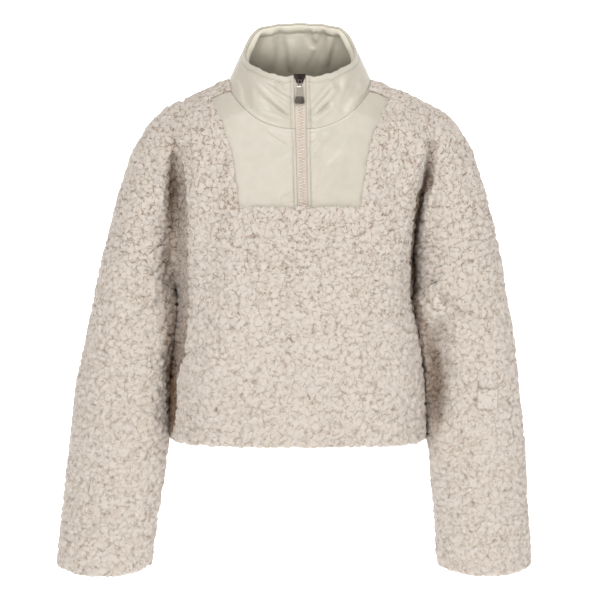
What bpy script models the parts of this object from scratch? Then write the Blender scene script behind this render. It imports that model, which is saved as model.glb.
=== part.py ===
"""Sherpa fleece pullover with a smooth half-zip yoke and stand collar, worn shape with no wearer.

Frame: Z up, the front faces -Y, X = 0 at the middle of the neck. The origin lies between the
shoulders at the base of the neck. "right" and "left" are the wearer's, so the right side is at -X.
Tables are in millimetres and every mesh is scaled to metres when it is made.
"""

import math

import bpy
import bmesh
import numpy as np
from mathutils import Matrix, Vector

MM = 0.001

# Driving sizes
FLEECE = 4.5            # fleece wall: the backing and the dense part of the pile
NYLON = 2.2             # folded nylon with its interlining
LINING = 1.6
TAPE = 1.0
SINK = 3.0              # how far the nylon lies below the top of the pile
EDGE_GAP = 0.25         # each sewn edge stops this far short of its seam
UNDERARM_GAPS = (0.6, 0.4)   # wider gaps in the first side seam rows below the underarm
ARMHOLE_WIDENING = 5.0  # the armhole's gap grows this many times towards the underarm
RIM_ROW = 2.0           # width of the narrow row of faces along a cut edge
HEM_Z = -486.0
CUFF_Z = {"right": -663.0, "left": -662.0}

# Outer outline of a side from the front: from the neck over the shoulder and down the arm.
OUTLINE_COLUMNS = ("x", "z")
OUTLINE = {
    "right": ((101, 10.5), (113, 6.5), (128, -1), (145, -9), (164, -18), (184, -28), (206, -47), (222, -70),
              (235, -93), (247, -130), (256, -158), (264, -194), (272, -223), (280, -252),
              (286, -284), (297, -340), (314, -420), (322, -495), (327, -535), (331, -580),
              (337, -631), (341, -680)),
    "left": ((101, 10.5), (113, 6.5), (128, -1), (148, -8), (168, -18), (186, -27), (204, -39),
             (220, -56), (237, -84), (251, -124), (260, -152), (268, -182), (275, -214),
             (282, -247), (287, -283), (292, -308), (299, -346), (303, -388), (308, -437),
             (312, -473), (315, -505), (318, -579), (321, -628), (324, -680)),
}

# Trunk sections: depth of front and back, and the half width where the trunk turns to its sides.
TRUNK_COLUMNS = ("z", "front", "back", "right", "left", "square")
TRUNK = (
    (20, 72, 66, 236, 236, 2.6),
    (-10, 78, 76, 236, 236, 2.6),
    (-58, 90, 95, 232, 230, 2.6),
    (-110, 107, 104, 216, 210, 2.6),
    (-150, 116, 107, 202, 192, 2.8),
    (-200, 123, 108, 189, 174, 3.1),
    (-250, 127, 107, 178, 162, 3.5),
    (-290, 127, 105, 171, 157, 3.8),
    (-350, 126, 103, 177, 168, 4.0),
    (-420, 125, 102, 181, 175, 4.0),
    (-500, 125, 102, 183, 178, 4.0),
)
SHOULDER_ROUND = 90.0   # distance from the outline in which the trunk rounds over the shoulder

# Upper arm, merged with the trunk above the underarm point.
ARM = {
    "right": {"radius": 55.0, "depth": 58.0, "underarm": (174.0, -284.0)},
    "left": {"radius": 62.0, "depth": 62.0, "underarm": (160.0, -290.0)},
}
UNDERARM_ROUND = 14.0   # radius of the web at the underarm point, front to back
CREASE_BLEND = 40.0     # rounding of the crease between trunk and arm

# Armhole seam: drop from its outer end (0) to the underarm point (1), along its width.
ARMHOLE_COLUMNS = ("along", "drop")
ARMHOLE = ((0.0, 0.0), (0.25, -0.16), (0.45, -0.10), (0.65, 0.15), (0.85, 0.58), (1.0, 1.0))
ARMHOLE_TOP_Z = {"right": -251.0, "left": -246.0}
SHOULDER_SEAM_SHIFT = 16.0   # the back wraps this far forward over the shoulder at the neck

# Edge of the yoke, and the front half of the neck seam, as seen from the front.
YOKE_EDGE = ((121, -14), (112, -40), (103, -64), (96, -87), (90, -117), (86, -148), (84, -166))
NECK_FRONT = ((0, -58), (17, -57.5), (34, -54.5), (57, -45), (76, -30), (90, -14))
NECK_BACK_Z = -6.0
NECK_CORNER_TURN = 0.42     # turn of the yoke's corner, from the zip (0) to the middle back (1)
NECK_SPLIT = 0.57           # part of the back's first row that belongs to its trunk columns
YOKE_BOTTOM_Z = -166.0

# Collar rim, from the middle of the front to the middle of the back.
RIM_COLUMNS = ("turn", "x", "y", "z")
RIM = (
    (0.0, 0, -71, 14),
    (0.1, 22, -70, 13),
    (0.2, 43, -62, 21),
    (0.31, 62, -44, 36),
    (0.41, 73, -21, 49),
    (0.5, 75.5, -2, 56),
    (0.6, 71, 18, 68),
    (0.73, 59, 36, 83),
    (0.87, 31, 47, 91),
    (1.0, 0, 50, 93),
)

COLLAR_PADDING = 1.5        # space between the collar's outer side and its lining
COLLAR_LIFT = 0.5           # the collar stands this far clear of the neck seam
LINING_LIFT = 0.9
LINING_SETBACK = 8.0        # the lining ends this far behind the edge of the placket

# Sleeves: inner edge seen from the front, half depths and the middle of the depth.
SLEEVE_INNER_COLUMNS = ("z", "right", "left")
SLEEVE_INNER = (
    (-280, 174, 158),
    (-300, 179, 163.5),
    (-325, 179.5, 168),
    (-350, 180.0, 170.5),
    (-385, 181.2, 173.6),
    (-420, 182.0, 176.0),
    (-455, 183.2, 177.8),
    (-486, 184.0, 179.0),
    (-515, 187.0, 181.5),
    (-540, 190.0, 183.5),
    (-590, 198, 188),
    (-640, 205, 191),
    (-680, 209, 193),
)
SLEEVE_DEPTH_COLUMNS = ("down", "front", "back", "middle")
SLEEVE_DEPTH = (
    (0.0, 60, 58, 0),
    (0.25, 60, 60, -1),
    (0.5, 58, 60, -6),
    (0.75, 56, 57, -13),
    (1.0, 54, 54, -20),
)
SLEEVE_SQUARE = 2.2
SLEEVE_MIDDLE_X = {"right": -262.0, "left": 250.0}
CUFF_FRONT_DROP = 9.0
ARMHOLE_FADE = 0.2      # part of the sleeve over which the armhole's own shape fades out

# Folds, each from one point to another as seen from the front, with a width and a depth inward.
FOLD_COLUMNS = ("side", "face", "x0", "z0", "x1", "z1", "width", "depth")
TRUNK_FOLDS = (
    ("right", "front", 163, -88, 181, -200, 13, 12),
    ("right", "front", 181, -200, 178, -262, 15, 12),
    ("left", "front", 180, -84, 164, -150, 10, 12),
    ("left", "front", 164, -150, 157, -240, 9, 12),
    ("right", "front", 114, -120, 124, -300, 18, 5),
    ("right", "front", 124, -300, 142, -390, 16, 4),
    ("left", "front", 128, -70, 112, -160, 13, 4),
    ("left", "front", 92, -210, 116, -400, 20, 4),
    ("right", "back", 166, -100, 176, -250, 15, 13),
    ("left", "back", 172, -96, 162, -250, 13, 13),
    ("right", "back", 70, -60, 96, -260, 22, 5),
    ("left", "back", 62, -90, 104, -330, 22, 5),
)
SLEEVE_FOLDS = (
    ("left", "front", 190, -338, 189, -455, 14, 24),
    ("left", "front", 200, -322, 262, -300, 12, 5),
    ("right", "front", 300, -372, 226, -392, 14, 4),
    ("right", "front", 312, -440, 240, -470, 15, 4),
    ("right", "back", 206, -350, 280, -380, 15, 6),
    ("left", "back", 196, -350, 270, -384, 15, 6),
    ("right", "back", 220, -440, 300, -462, 15, 5),
    ("left", "back", 206, -452, 284, -470, 15, 5),
)

# Zip
ZIP_TOP = (-0.5, 14.0)
ZIP_BOTTOM = (4.0, -166.0)
ZIP_HALF_OPENING = 7.5
ZIP_TOP_HALF_OPENING = 8.6
CHAIN_HALF_WIDTH = 2.9
CHAIN_DEPTH = 2.4
CHAIN_TOP_Z = 2.4
TAPE_OUTER = 13.5
SLIDER_Z = 10.0
SLIDER_TOP_HALF = 7.8
SLIDER_BOTTOM_HALF = 4.2
SLIDER_HALF_HEIGHT = 6.2
SLIDER_PLATE = 1.5
BRIDGE_WIDTH = 2.2
BRIDGE_RISE = 3.4
BRIDGE_BAR = 1.1
BRIDGE_TOP_Z = 5.6
BRIDGE_LOW_Z = -4.6
BRIDGE_CORNER = 1.0
BRIDGE_ROOT = 0.5       # the bridge's feet reach this far into the front plate
LINK_RADIUS = 0.75
LINK_HALF_WIDTH = 2.15
LINK_LENGTH = 9.2
LINK_CORNER = 0.7
LINK_PLAY = 0.3         # space between the link and the bridge's bar
TAB_LENGTH = 21.0
TAB_TOP_HALF = 4.3
TAB_BOTTOM_HALF = 6.4
TAB_THICKNESS = 1.6
TAB_CORNER = 1.6
TAB_OVERLAP = 0.6       # the tab takes in this much of the link's lower end

# Box that trims the side seams, from below the hem to just above the underarms
SEAM_CUTTER_MARGIN = 20.0
SEAM_CUTTER_TOP = -262.0
SEAM_CUTTER_WIDTH = 480.0
SEAM_CUTTER_DEPTH = 60.0

# Badge on the wearer's left forearm
BADGE_CENTRE = (258.0, -430.0)
BADGE_HALF = 14.5
BADGE_THICKNESS = 1.0

# Crease between trunk and arm as seen from the front. It ends at the underarm point.
CREASE_COLUMNS = ("z", "right", "left")
CREASE = ((-20, 162, 166), (-55, 168, 176), (-90, 172, 180), (-125, 175, 177), (-160, 178, 170),
          (-205, 180, 163), (-250, 178, 159), (-284, 174, 159.9), (-290, 173.6, 160))

# Grids, a row for each section above the underarm: its heights at the inner end and in the crease,
# and its edge, which runs from 0 at the neck to 1 at the armhole. Then the heights below, from the
# underarm to the hem. The last row above is the armhole seam.
ROW_COLUMNS = ("inner_z", "crease_z", "edge")
YOKE_CORNER_EDGE = 0.1
SHOULDER_EDGES = (0.0, 0.012, 0.05, YOKE_CORNER_EDGE)
FIRST_ROW_EDGES = (YOKE_CORNER_EDGE, 0.16, 0.22, 0.28, 0.34)
WING_ROWS = ((-14, -38, 0.34), (-48, -75, 0.44), (-82, -106, 0.53), (-112, -132, 0.61),
             (-138, -155, 0.68), (-163.5, -178, 0.75), (-166, -180, 0.76))
ARM_ROW_COLUMNS = ("above_underarm", "edge")
ARM_ROWS = ((88, 0.83), (67, 0.885), (47, 0.925), (29, 0.955), (15, 0.972), (6, 0.985), (0, 1.0))
INNER_RISE = 14.0       # a row's inner end lies this much above its crease
BACK_ROWS = ((-6, -14, 0.0), (-8, -15.5, 0.012), (-13, -18, 0.05), (-20, -24, 0.1), (-28, -30, 0.16),
             (-36, -38, 0.22), (-45, -48, 0.28), (-54, -58, 0.34), (-76, -81, 0.44), (-98, -106, 0.53),
             (-120, -131, 0.61), (-142, -155, 0.68), (-164, -179, 0.755))
LOW_STEPS = (0.0, 0.05, 0.18, 0.38, 0.58, 0.79, 1.0)
TRUNK_COLUMNS_WING = 8
TRUNK_COLUMNS_BACK = 13
ARM_COLUMNS = 10
CENTRE_COLUMNS = 10
YOKE_COLUMNS = 11
SLEEVE_ROWS = 15
COLLAR_COLUMNS = 48
COLLAR_ROWS = 5

COLOURS = {
    "fleece": (0.694, 0.624, 0.552, 1.0),
    "nylon": (0.723, 0.694, 0.604, 1.0),
    "nylon_inside": (0.46, 0.43, 0.33, 1.0),
    "tape": (0.785, 0.708, 0.631, 1.0),
    "gunmetal": (0.045, 0.037, 0.038, 1.0),
    "badge": (0.66, 0.59, 0.53, 1.0),
}
FINISHES = {
    "fleece": (0.95, 0.0),
    "nylon": (0.5, 0.0),
    "nylon_inside": (0.6, 0.0),
    "tape": (0.8, 0.0),
    "gunmetal": (0.35, 0.9),
    "badge": (0.7, 0.0),
}


# ---------------------------------------------------------------- tables and curves

def smooth(rows, key, value, at):
    """Value of a table column at the key, through a smooth curve with no overshoot."""
    rows = np.array(rows, float)
    order = np.argsort(rows[:, key])
    keys = rows[order, key]
    values = rows[order, value]
    slopes = np.diff(values) / np.diff(keys)
    steepness = np.zeros(len(keys))
    steepness[0] = slopes[0]
    steepness[-1] = slopes[-1]
    same_way = slopes[:-1] * slopes[1:] > 0
    harmonic = 2 * slopes[:-1] * slopes[1:] / np.where(same_way, slopes[:-1] + slopes[1:], 1)
    steepness[1:-1] = np.where(same_way, harmonic, 0)
    at = np.clip(np.asarray(at, float), keys[0], keys[-1])
    cell = np.clip(np.searchsorted(keys, at, side="right") - 1, 0, len(keys) - 2)
    width = keys[cell + 1] - keys[cell]
    t = (at - keys[cell]) / width
    start = (1 + 2 * t) * (1 - t) ** 2 * values[cell] + t * (1 - t) ** 2 * width * steepness[cell]
    end = t * t * (3 - 2 * t) * values[cell + 1] + t * t * (t - 1) * width * steepness[cell + 1]
    return start + end


def smooth_path(points, count):
    """Points spaced evenly by chord fraction along a smooth curve through the given points."""
    points = np.array(points, float)
    chords = np.linalg.norm(np.diff(points, axis=0), axis=1)
    fraction = np.concatenate(([0], np.cumsum(chords))) / chords.sum()
    at = np.linspace(0, 1, count)
    columns = [smooth(np.column_stack((fraction, points[:, c])), 0, 1, at)
               for c in range(points.shape[1])]
    return np.column_stack(columns)


def along_path(path, at):
    """Point at a fraction of a polyline's length."""
    lengths = np.concatenate(([0], np.cumsum(np.linalg.norm(np.diff(path, axis=0), axis=1))))
    target = np.asarray(at, float) * lengths[-1]
    return np.stack([np.interp(target, lengths, path[:, c]) for c in range(path.shape[1])], axis=-1)


def resample(points, columns, rims):
    """The polyline cut into the given number of columns, with a narrow one at each rim end."""
    lengths = np.concatenate(([0], np.cumsum(np.linalg.norm(np.diff(points, axis=0), axis=1))))
    total = lengths[-1]
    start = RIM_ROW if rims[0] else 0.0
    end = RIM_ROW if rims[1] else 0.0
    cuts = list(np.linspace(start, total - end, columns + 1 - rims[0] - rims[1]))
    cuts = [0.0] * rims[0] + cuts + [total] * rims[1]
    return np.stack([np.interp(cuts, lengths, points[:, c]) for c in range(3)], axis=-1)


def segment_distance(x, z, start, end):
    """Distance in the front view from each point to a straight line between two points."""
    along = np.array(end, float) - np.array(start, float)
    t = ((x - start[0]) * along[0] + (z - start[1]) * along[1]) / (along @ along)
    t = np.clip(t, 0, 1)
    return np.hypot(x - start[0] - t * along[0], z - start[1] - t * along[1])


OUTLINE_PATH = {side: smooth_path(rows, 220) for side, rows in OUTLINE.items()}


def outline_distance(x, z, side):
    """Distance in the front view from each point to the side's outline."""
    path = OUTLINE_PATH[side]
    x = np.asarray(x, float)
    z = np.asarray(z, float)
    nearest = np.full(np.broadcast(x, z).shape, 1e9)
    for start, end in zip(path[:-1], path[1:]):
        nearest = np.minimum(nearest, segment_distance(x, z, start, end))
    return nearest


def outline_x(z, side):
    """Width of the outline at a height below the shoulder."""
    return smooth(OUTLINE[side], 1, 0, z)


# ---------------------------------------------------------------- the worn surface

def fold_depth(x, z, side, face, folds):
    """Sum of the folds' depths at points of one side and face."""
    depth = np.zeros(np.broadcast(x, z).shape)
    for row in folds:
        fold = dict(zip(FOLD_COLUMNS, row))
        if fold["side"] == side and fold["face"] == face:
            away = segment_distance(x, z, (fold["x0"], fold["z0"]), (fold["x1"], fold["z1"]))
            depth += fold["depth"] * np.exp(-(away / fold["width"]) ** 2)
    return depth


def body_depth(x, z, side, face):
    """Depth of the body's front or back at points of one side, x counted outward from the middle.

    The trunk is a squared section and the arm a round tube that hugs the outline. The larger of the
    two counts, rounded where they meet, and the rounding closes at the underarm point.
    """
    x = np.abs(np.asarray(x, float))
    z = np.asarray(z, float)
    arm = ARM[side]
    away = outline_distance(x, z, side)
    half = smooth(TRUNK, 0, TRUNK_COLUMNS.index(side), z)
    deep = smooth(TRUNK, 0, TRUNK_COLUMNS.index(face), z)
    closing = np.sqrt(1 - (1 - np.clip(away / SHOULDER_ROUND, 0, 1)) ** 2)
    square = smooth(TRUNK, 0, TRUNK_COLUMNS.index("square"), z)
    trunk = deep * np.sqrt(1 - np.clip(x / half, 0, 1) ** square) * closing
    tube = arm["depth"] * np.sqrt(np.clip(1 - (1 - away / arm["radius"]) ** 2, 0, None))
    above = np.clip(z - arm["underarm"][1], 0, None)
    tube = np.where(z < arm["underarm"][1], 0, tube)
    blend = np.minimum(4 * np.sqrt(2 * UNDERARM_ROUND * above), CREASE_BLEND)
    blend = blend * np.clip(away / 50, 0, 1) ** 2 + 1e-6
    raised = np.clip(blend - np.abs(trunk - tube), 0, None) ** 2 / (4 * blend)
    depth = np.maximum(trunk, tube) + raised
    fade = np.clip(depth / 45, 0, 1)
    return depth - fold_depth(x, z, side, face, TRUNK_FOLDS) * fade


def outward(x, z, side, face):
    """Unit normals of the body's surface, from the slope of its squared depth towards the inside."""
    step = 1.0
    depth = body_depth(x, z, side, face)
    slope_x = (depth ** 2 - body_depth(x - step, z, side, face) ** 2) / step
    slope_z = (depth ** 2 - body_depth(x, z - step, side, face) ** 2) / step
    normal = np.stack([-slope_x, 2 * depth, -slope_z], axis=-1)
    return normal / np.linalg.norm(normal, axis=-1, keepdims=True)


def place(x, z, side, face, sink=0.0):
    """Points of the body's surface, sunk along the normal, with the signs of the side and face."""
    x = np.asarray(x, float)
    z = np.asarray(z, float)
    points = np.stack([x, body_depth(x, z, side, face), z], axis=-1)
    if sink:
        points = points - outward(x, z, side, face) * sink
    points[..., 0] *= -1 if side == "right" else 1
    points[..., 1] *= -1 if face == "front" else 1
    return points


def armhole_point(side, along):
    """Point of the armhole seam in the front view, 0 at the outside and 1 at the underarm."""
    top_z = ARMHOLE_TOP_Z[side]
    inner_x, inner_z = ARM[side]["underarm"]
    outer_x = outline_x(top_z, side)
    drop = smooth(ARMHOLE, 0, 1, along)
    return outer_x + (inner_x - outer_x) * along, top_z + (inner_z - top_z) * drop


def shoulder_path(side):
    """The part of the outline from the neck to the armhole."""
    path = OUTLINE_PATH[side]
    end_z = ARMHOLE_TOP_Z[side]
    return np.concatenate([path[path[:, 1] > end_z + 1], [(outline_x(end_z, side), end_z)]])


def edge_point(side, edge):
    """Point of the outline in the front view, from the neck to the armhole."""
    return along_path(shoulder_path(side), edge)


def shoulder_seam_point(side, edge):
    """Point of the shoulder seam, moved forward and down from the outline."""
    point = edge_point(side, edge)
    ahead = edge_point(side, min(edge + 0.02, 1.0))
    behind = edge_point(side, max(edge - 0.02, 0.0))
    along = (ahead - behind) / np.linalg.norm(ahead - behind)
    inward = np.array((along[1], -along[0]))
    return point + inward * SHOULDER_SEAM_SHIFT * (1 - edge)


def dense_line(start, end, crowd=True, count=60):
    """Straight line in the front view, crowded at its outer end if that is on the outline."""
    t = np.linspace(0, 1, count)
    t = np.sin(t * math.pi / 2) if crowd else t
    return start[0] + (end[0] - start[0]) * t, start[1] + (end[1] - start[1]) * t


def arm_line(side, crease, outer, edge):
    """Row across the arm from the crease outward. Towards the armhole it takes the seam's shape."""
    t = np.sin(np.linspace(0, math.pi / 2, 60))
    rise = 1 - smooth(ARMHOLE, 0, 1, 1 - t)
    rise = t + (rise - t) * edge ** 4
    return crease[0] + (outer[0] - crease[0]) * t, crease[1] + (outer[1] - crease[1]) * rise


def zip_half_opening(z):
    """Half the width between the plackets, which widens beside the slider."""
    return float(np.interp(z, (NECK_FRONT[0][1], ZIP_TOP[1]), (ZIP_HALF_OPENING, ZIP_TOP_HALF_OPENING)))


def yoke_edge_x(z):
    """Distance of the yoke's side edge from the middle at a height."""
    return float(smooth(YOKE_EDGE, 1, 0, z))


def zip_x(z):
    """Middle of the zip at a height, which leans a little to the wearer's left."""
    return float(np.interp(z, (ZIP_BOTTOM[1], ZIP_TOP[1]), (ZIP_BOTTOM[0], ZIP_TOP[0])))


# ---------------------------------------------------------------- Blender helpers

def clear_scene():
    for item in list(bpy.data.objects):
        bpy.data.objects.remove(item, do_unlink=True)


def make_material(name):
    """Principled material with the slot's colour, roughness and metallic value."""
    material = bpy.data.materials.new(name)
    material.use_nodes = True
    shader = material.node_tree.nodes["Principled BSDF"]
    roughness, metallic = FINISHES[name]
    shader.inputs["Base Color"].default_value = COLOURS[name]
    shader.inputs["Roughness"].default_value = roughness
    shader.inputs["Metallic"].default_value = metallic
    return material


def add_object(name, mesh, collection, material):
    item = bpy.data.objects.new(name, mesh)
    item.data.materials.append(material)
    collection.objects.link(item)
    return item


def grid_mesh(name, grid, ring=False, skip=None):
    """Mesh of a grid of points in millimetres. A ring joins its last column to its first."""
    rows, columns = grid.shape[:2]
    faces = []
    for r in range(rows - 1):
        for c in range(columns if ring else columns - 1):
            if skip and skip(r, c):
                continue
            after = (c + 1) % columns
            faces.append((r * columns + c, r * columns + after,
                          (r + 1) * columns + after, (r + 1) * columns + c))
    mesh = bpy.data.meshes.new(name)
    mesh.from_pydata([tuple(p * MM) for p in grid.reshape(-1, 3)], [], faces)
    work = bmesh.new()
    work.from_mesh(mesh)
    loose = [v for v in work.verts if not v.link_faces]
    bmesh.ops.delete(work, geom=loose, context="VERTS")
    work.to_mesh(mesh)
    work.free()
    return mesh


def face_outward(mesh, towards):
    """Turns the mesh's faces so that most look the given way from its middle."""
    votes = sum(face.normal.dot(towards(face.center)) for face in mesh.polygons)
    if votes < 0:
        mesh.flip_normals()


def add_shell(name, grid, thickness, collection, material, towards, ring=False, skip=None):
    """Cloth wall: the grid is its outer side and the wall grows inward from it."""
    mesh = grid_mesh(name, grid, ring, skip)
    face_outward(mesh, towards)
    item = add_object(name, mesh, collection, material)
    wall = item.modifiers.new("wall", "SOLIDIFY")
    wall.thickness = thickness * MM
    wall.offset = -1.0
    wall.use_even_offset = False
    return item


def trim_side_seam(item, towards, guides):
    """Cuts off what passes the plane of the side seams below the armholes."""
    low = HEM_Z - SEAM_CUTTER_MARGIN
    high = SEAM_CUTTER_TOP
    middle_y = towards * (SEAM_CUTTER_DEPTH / 2 - EDGE_GAP)
    middle = Matrix.Translation((0, middle_y * MM, (high + low) / 2 * MM))
    sizes = Matrix.Diagonal((SEAM_CUTTER_WIDTH, SEAM_CUTTER_DEPTH, high - low, 1))
    mesh = bpy.data.meshes.new("seam_cutter")
    work = bmesh.new()
    bmesh.ops.create_cube(work, size=MM, matrix=middle @ sizes)
    work.to_mesh(mesh)
    work.free()
    cutter = bpy.data.objects.new("seam_cutter", mesh)
    guides.objects.link(cutter)
    cutter.display_type = "WIRE"
    cutter.hide_render = True
    cut = item.modifiers.new("seam", "BOOLEAN")
    cut.operation = "DIFFERENCE"
    cut.solver = "EXACT"
    cut.object = cutter


def from_axis(middle_x=0.0):
    """Direction away from a vertical axis, for telling a wall's outer side."""
    def away(point):
        return point - Vector((middle_x * MM, 0.0, point.z))
    return away


# ---------------------------------------------------------------- fleece panels

def inset_ends(row, start, end):
    """Moves the ends of a row along itself, so that it stops short of its neighbours."""
    row = row.copy()
    if start:
        step = row[1] - row[0]
        row[0] += step / np.linalg.norm(step) * start
    if end:
        step = row[-2] - row[-1]
        row[-1] += step / np.linalg.norm(step) * end
    return row


def crease_point(side, z):
    """Point of the crease column at a height."""
    return float(smooth(CREASE, 0, CREASE_COLUMNS.index(side), z)), z


def upper_rows(side, top_rows):
    """Sizes of a side's rows above the underarm. The last one is the armhole seam."""
    under_z = ARM[side]["underarm"][1]
    return top_rows + tuple((under_z + above + INNER_RISE, under_z + above, edge)
                            for above, edge in ARM_ROWS)


def trunk_half(side, face, inner, crease, columns, rims):
    """Points of a row from its inner end to the crease."""
    x, z = dense_line(inner, crease, crowd=False)
    return resample(place(x, z, side, face), columns, rims)


def arm_half(side, face, crease, edge, wrap):
    """Points of a row from the crease to the shoulder seam or the armhole."""
    outer = edge_point(side, edge)
    seam = shoulder_seam_point(side, edge)
    if not wrap and edge < 1:
        x, z = arm_line(side, crease, seam, edge)
        return resample(place(x, z, side, face), ARM_COLUMNS, (0, 1))
    x, z = arm_line(side, crease, outer, edge)
    points = place(x, z, side, face)
    if wrap and edge < 1:
        x, z = dense_line(seam, outer)
        points = np.concatenate([points, place(x, z, side, "front")[::-1][1:]])
    return resample(points, ARM_COLUMNS, (0, 1))


def low_half(side, face, inner_x, step, columns, rims):
    """Points of a row below the underarm, from its inner end to the side seam, and its height."""
    under_x, under_z = ARM[side]["underarm"]
    z = under_z + (HEM_Z - under_z) * step
    half = smooth(TRUNK, 0, TRUNK_COLUMNS.index(side), z)
    x, z_line = dense_line((inner_x, z), (half, z))
    return resample(place(x, z_line, side, face), columns, rims)


def front_grid():
    """Rows of the front, from the shoulders to the hem, with room for the yoke above."""
    gap = EDGE_GAP
    whole = []
    last = len(WING_ROWS + ARM_ROWS) - 1
    for number in range(last + len(LOW_STEPS)):
        halves = {}
        for side in ("right", "left"):
            if number > last:
                inner_x = yoke_edge_x(YOKE_BOTTOM_Z)
                step = LOW_STEPS[number - last]
                trunk = low_half(side, "front", inner_x, step, TRUNK_COLUMNS_WING, (1, 1))
                trunk = inset_ends(trunk, 0, side_gap(number - last))
                arm = np.repeat(trunk[-1:], ARM_COLUMNS, axis=0)
            else:
                inner_z, crease_z, edge = upper_rows(side, WING_ROWS)[number]
                inner_x = yoke_edge_x(max(inner_z, YOKE_BOTTOM_Z))
                crease = crease_point(side, crease_z)
                trunk = trunk_half(side, "front", (inner_x, inner_z), crease, TRUNK_COLUMNS_WING, (1, 1))
                arm = arm_half(side, "front", crease, edge, False)
                if number == 0:
                    trunk, arm = seam_halves(side)
                trunk = inset_ends(trunk, gap if inner_z > YOKE_BOTTOM_Z else 0, 0)
                arm = inset_ends(arm, 0, gap)[1:]
            halves[side] = np.concatenate([trunk, arm])
        start = halves["right"][0]
        end = halves["left"][0]
        t = np.linspace(0, 1, CENTRE_COLUMNS + 1)[1:-1]
        x = start[0] + (end[0] - start[0]) * t
        z = start[2] + (end[2] - start[2]) * t
        centre = np.array([place(abs(a), b, "left" if a > 0 else "right", "front") for a, b in zip(x, z)])
        whole.append(np.concatenate([halves["right"][::-1], centre, halves["left"]]))
    grid = np.array(whole)
    shorten_row(grid, 0, np.full(grid.shape[1], gap))
    shorten_row(grid, last, armhole_gaps(grid.shape[1]))
    part_underarms(grid, last, -UNDERARM_GAPS[0])
    step = grid[1] - grid[0]
    near = grid[0] + step / np.linalg.norm(step, axis=-1, keepdims=True) * RIM_ROW
    rim = np.array([place(abs(x), z, "left" if x > 0 else "right", "front") for x, _, z in near])
    return np.concatenate([grid[:1], rim[None], grid[1:]])


def side_gap(number):
    """Gap at the side seam in a row counted down from the underarm."""
    return UNDERARM_GAPS[number - 1] if number <= len(UNDERARM_GAPS) else EDGE_GAP


def armhole_gaps(columns):
    """Gap of each column of the last upper row, wider towards the underarms and 0 on the trunk."""
    widening = 1 + ARMHOLE_WIDENING * np.linspace(0, 1, ARM_COLUMNS) ** 2
    gaps = np.zeros(columns)
    gaps[:ARM_COLUMNS] = EDGE_GAP * widening
    gaps[-ARM_COLUMNS:] = EDGE_GAP * widening[::-1]
    return gaps


def part_underarms(grid, row, gap):
    """Moves the two underarm corners of a panel away from the other panel's."""
    for column in (ARM_COLUMNS, grid.shape[1] - 1 - ARM_COLUMNS):
        grid[row, column] += (0, gap, abs(gap))


def seam_halves(side):
    """First row of the front, along the straight stretches of the back's edge on the shoulder."""
    x, z = np.array([shoulder_seam_point(side, e) for e in FIRST_ROW_EDGES]).T
    points = place(x, z, side, "front")
    middle = len(FIRST_ROW_EDGES) // 2
    return (resample(points[:middle + 1], TRUNK_COLUMNS_WING, (1, 1)),
            resample(points[middle:], ARM_COLUMNS, (0, 1)))


def shorten_row(grid, row, gaps):
    """Moves each point of an edge row back by its gap, towards the row beside it."""
    near = 1 if row == 0 else row - 1
    step = grid[near] - grid[row]
    step /= np.linalg.norm(step, axis=-1, keepdims=True) + 1e-9
    grid[row] += step * gaps[:, None]


def back_grid():
    """Rows of the back, from the neck to the hem, over the shoulders where there is no armhole."""
    gap = EDGE_GAP
    whole = []
    last = len(BACK_ROWS + ARM_ROWS) - 1
    for number in range(last + len(LOW_STEPS)):
        halves = {}
        for side in ("right", "left"):
            if number > last:
                trunk = low_half(side, "back", 0.0, LOW_STEPS[number - last], TRUNK_COLUMNS_BACK, (0, 1))
                trunk = inset_ends(trunk, 0, side_gap(number - last))
                arm = np.repeat(trunk[-1:], ARM_COLUMNS, axis=0)
            elif number == 0:
                trunk, arm = neck_halves(side)
            else:
                inner_z, crease_z, edge = upper_rows(side, BACK_ROWS)[number]
                outer = edge_point(side, edge)
                crease = crease_point(side, crease_z)
                if crease[0] > outer[0] * 0.8:
                    crease = (outer[0] * 0.8, inner_z + (outer[1] - inner_z) * 0.6)
                trunk = trunk_half(side, "back", (0.0, inner_z), crease, TRUNK_COLUMNS_BACK, (0, 1))
                arm = inset_ends(arm_half(side, "back", crease, edge, True), 0, gap)[1:]
            halves[side] = np.concatenate([trunk, arm])
        whole.append(np.concatenate([halves["right"][:0:-1], halves["left"]]))
    grid = np.array(whole)
    shorten_row(grid, last, armhole_gaps(grid.shape[1]))
    part_underarms(grid, last, UNDERARM_GAPS[0])
    return grid


def neck_halves(side):
    """First row of the back, along the neck seam from its middle to the yoke's corner."""
    turns = np.linspace(1.0, NECK_CORNER_TURN, 60)
    points = np.array([neck_point(t, side, 0.0) for t in turns])
    middle = int(len(points) * NECK_SPLIT)
    trunk = resample(points[:middle + 1], TRUNK_COLUMNS_BACK, (0, 1))
    arm = resample(points[middle:], ARM_COLUMNS, (0, 1))
    return trunk, inset_ends(arm, 0, EDGE_GAP)[1:]


# ---------------------------------------------------------------- sleeves

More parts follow.
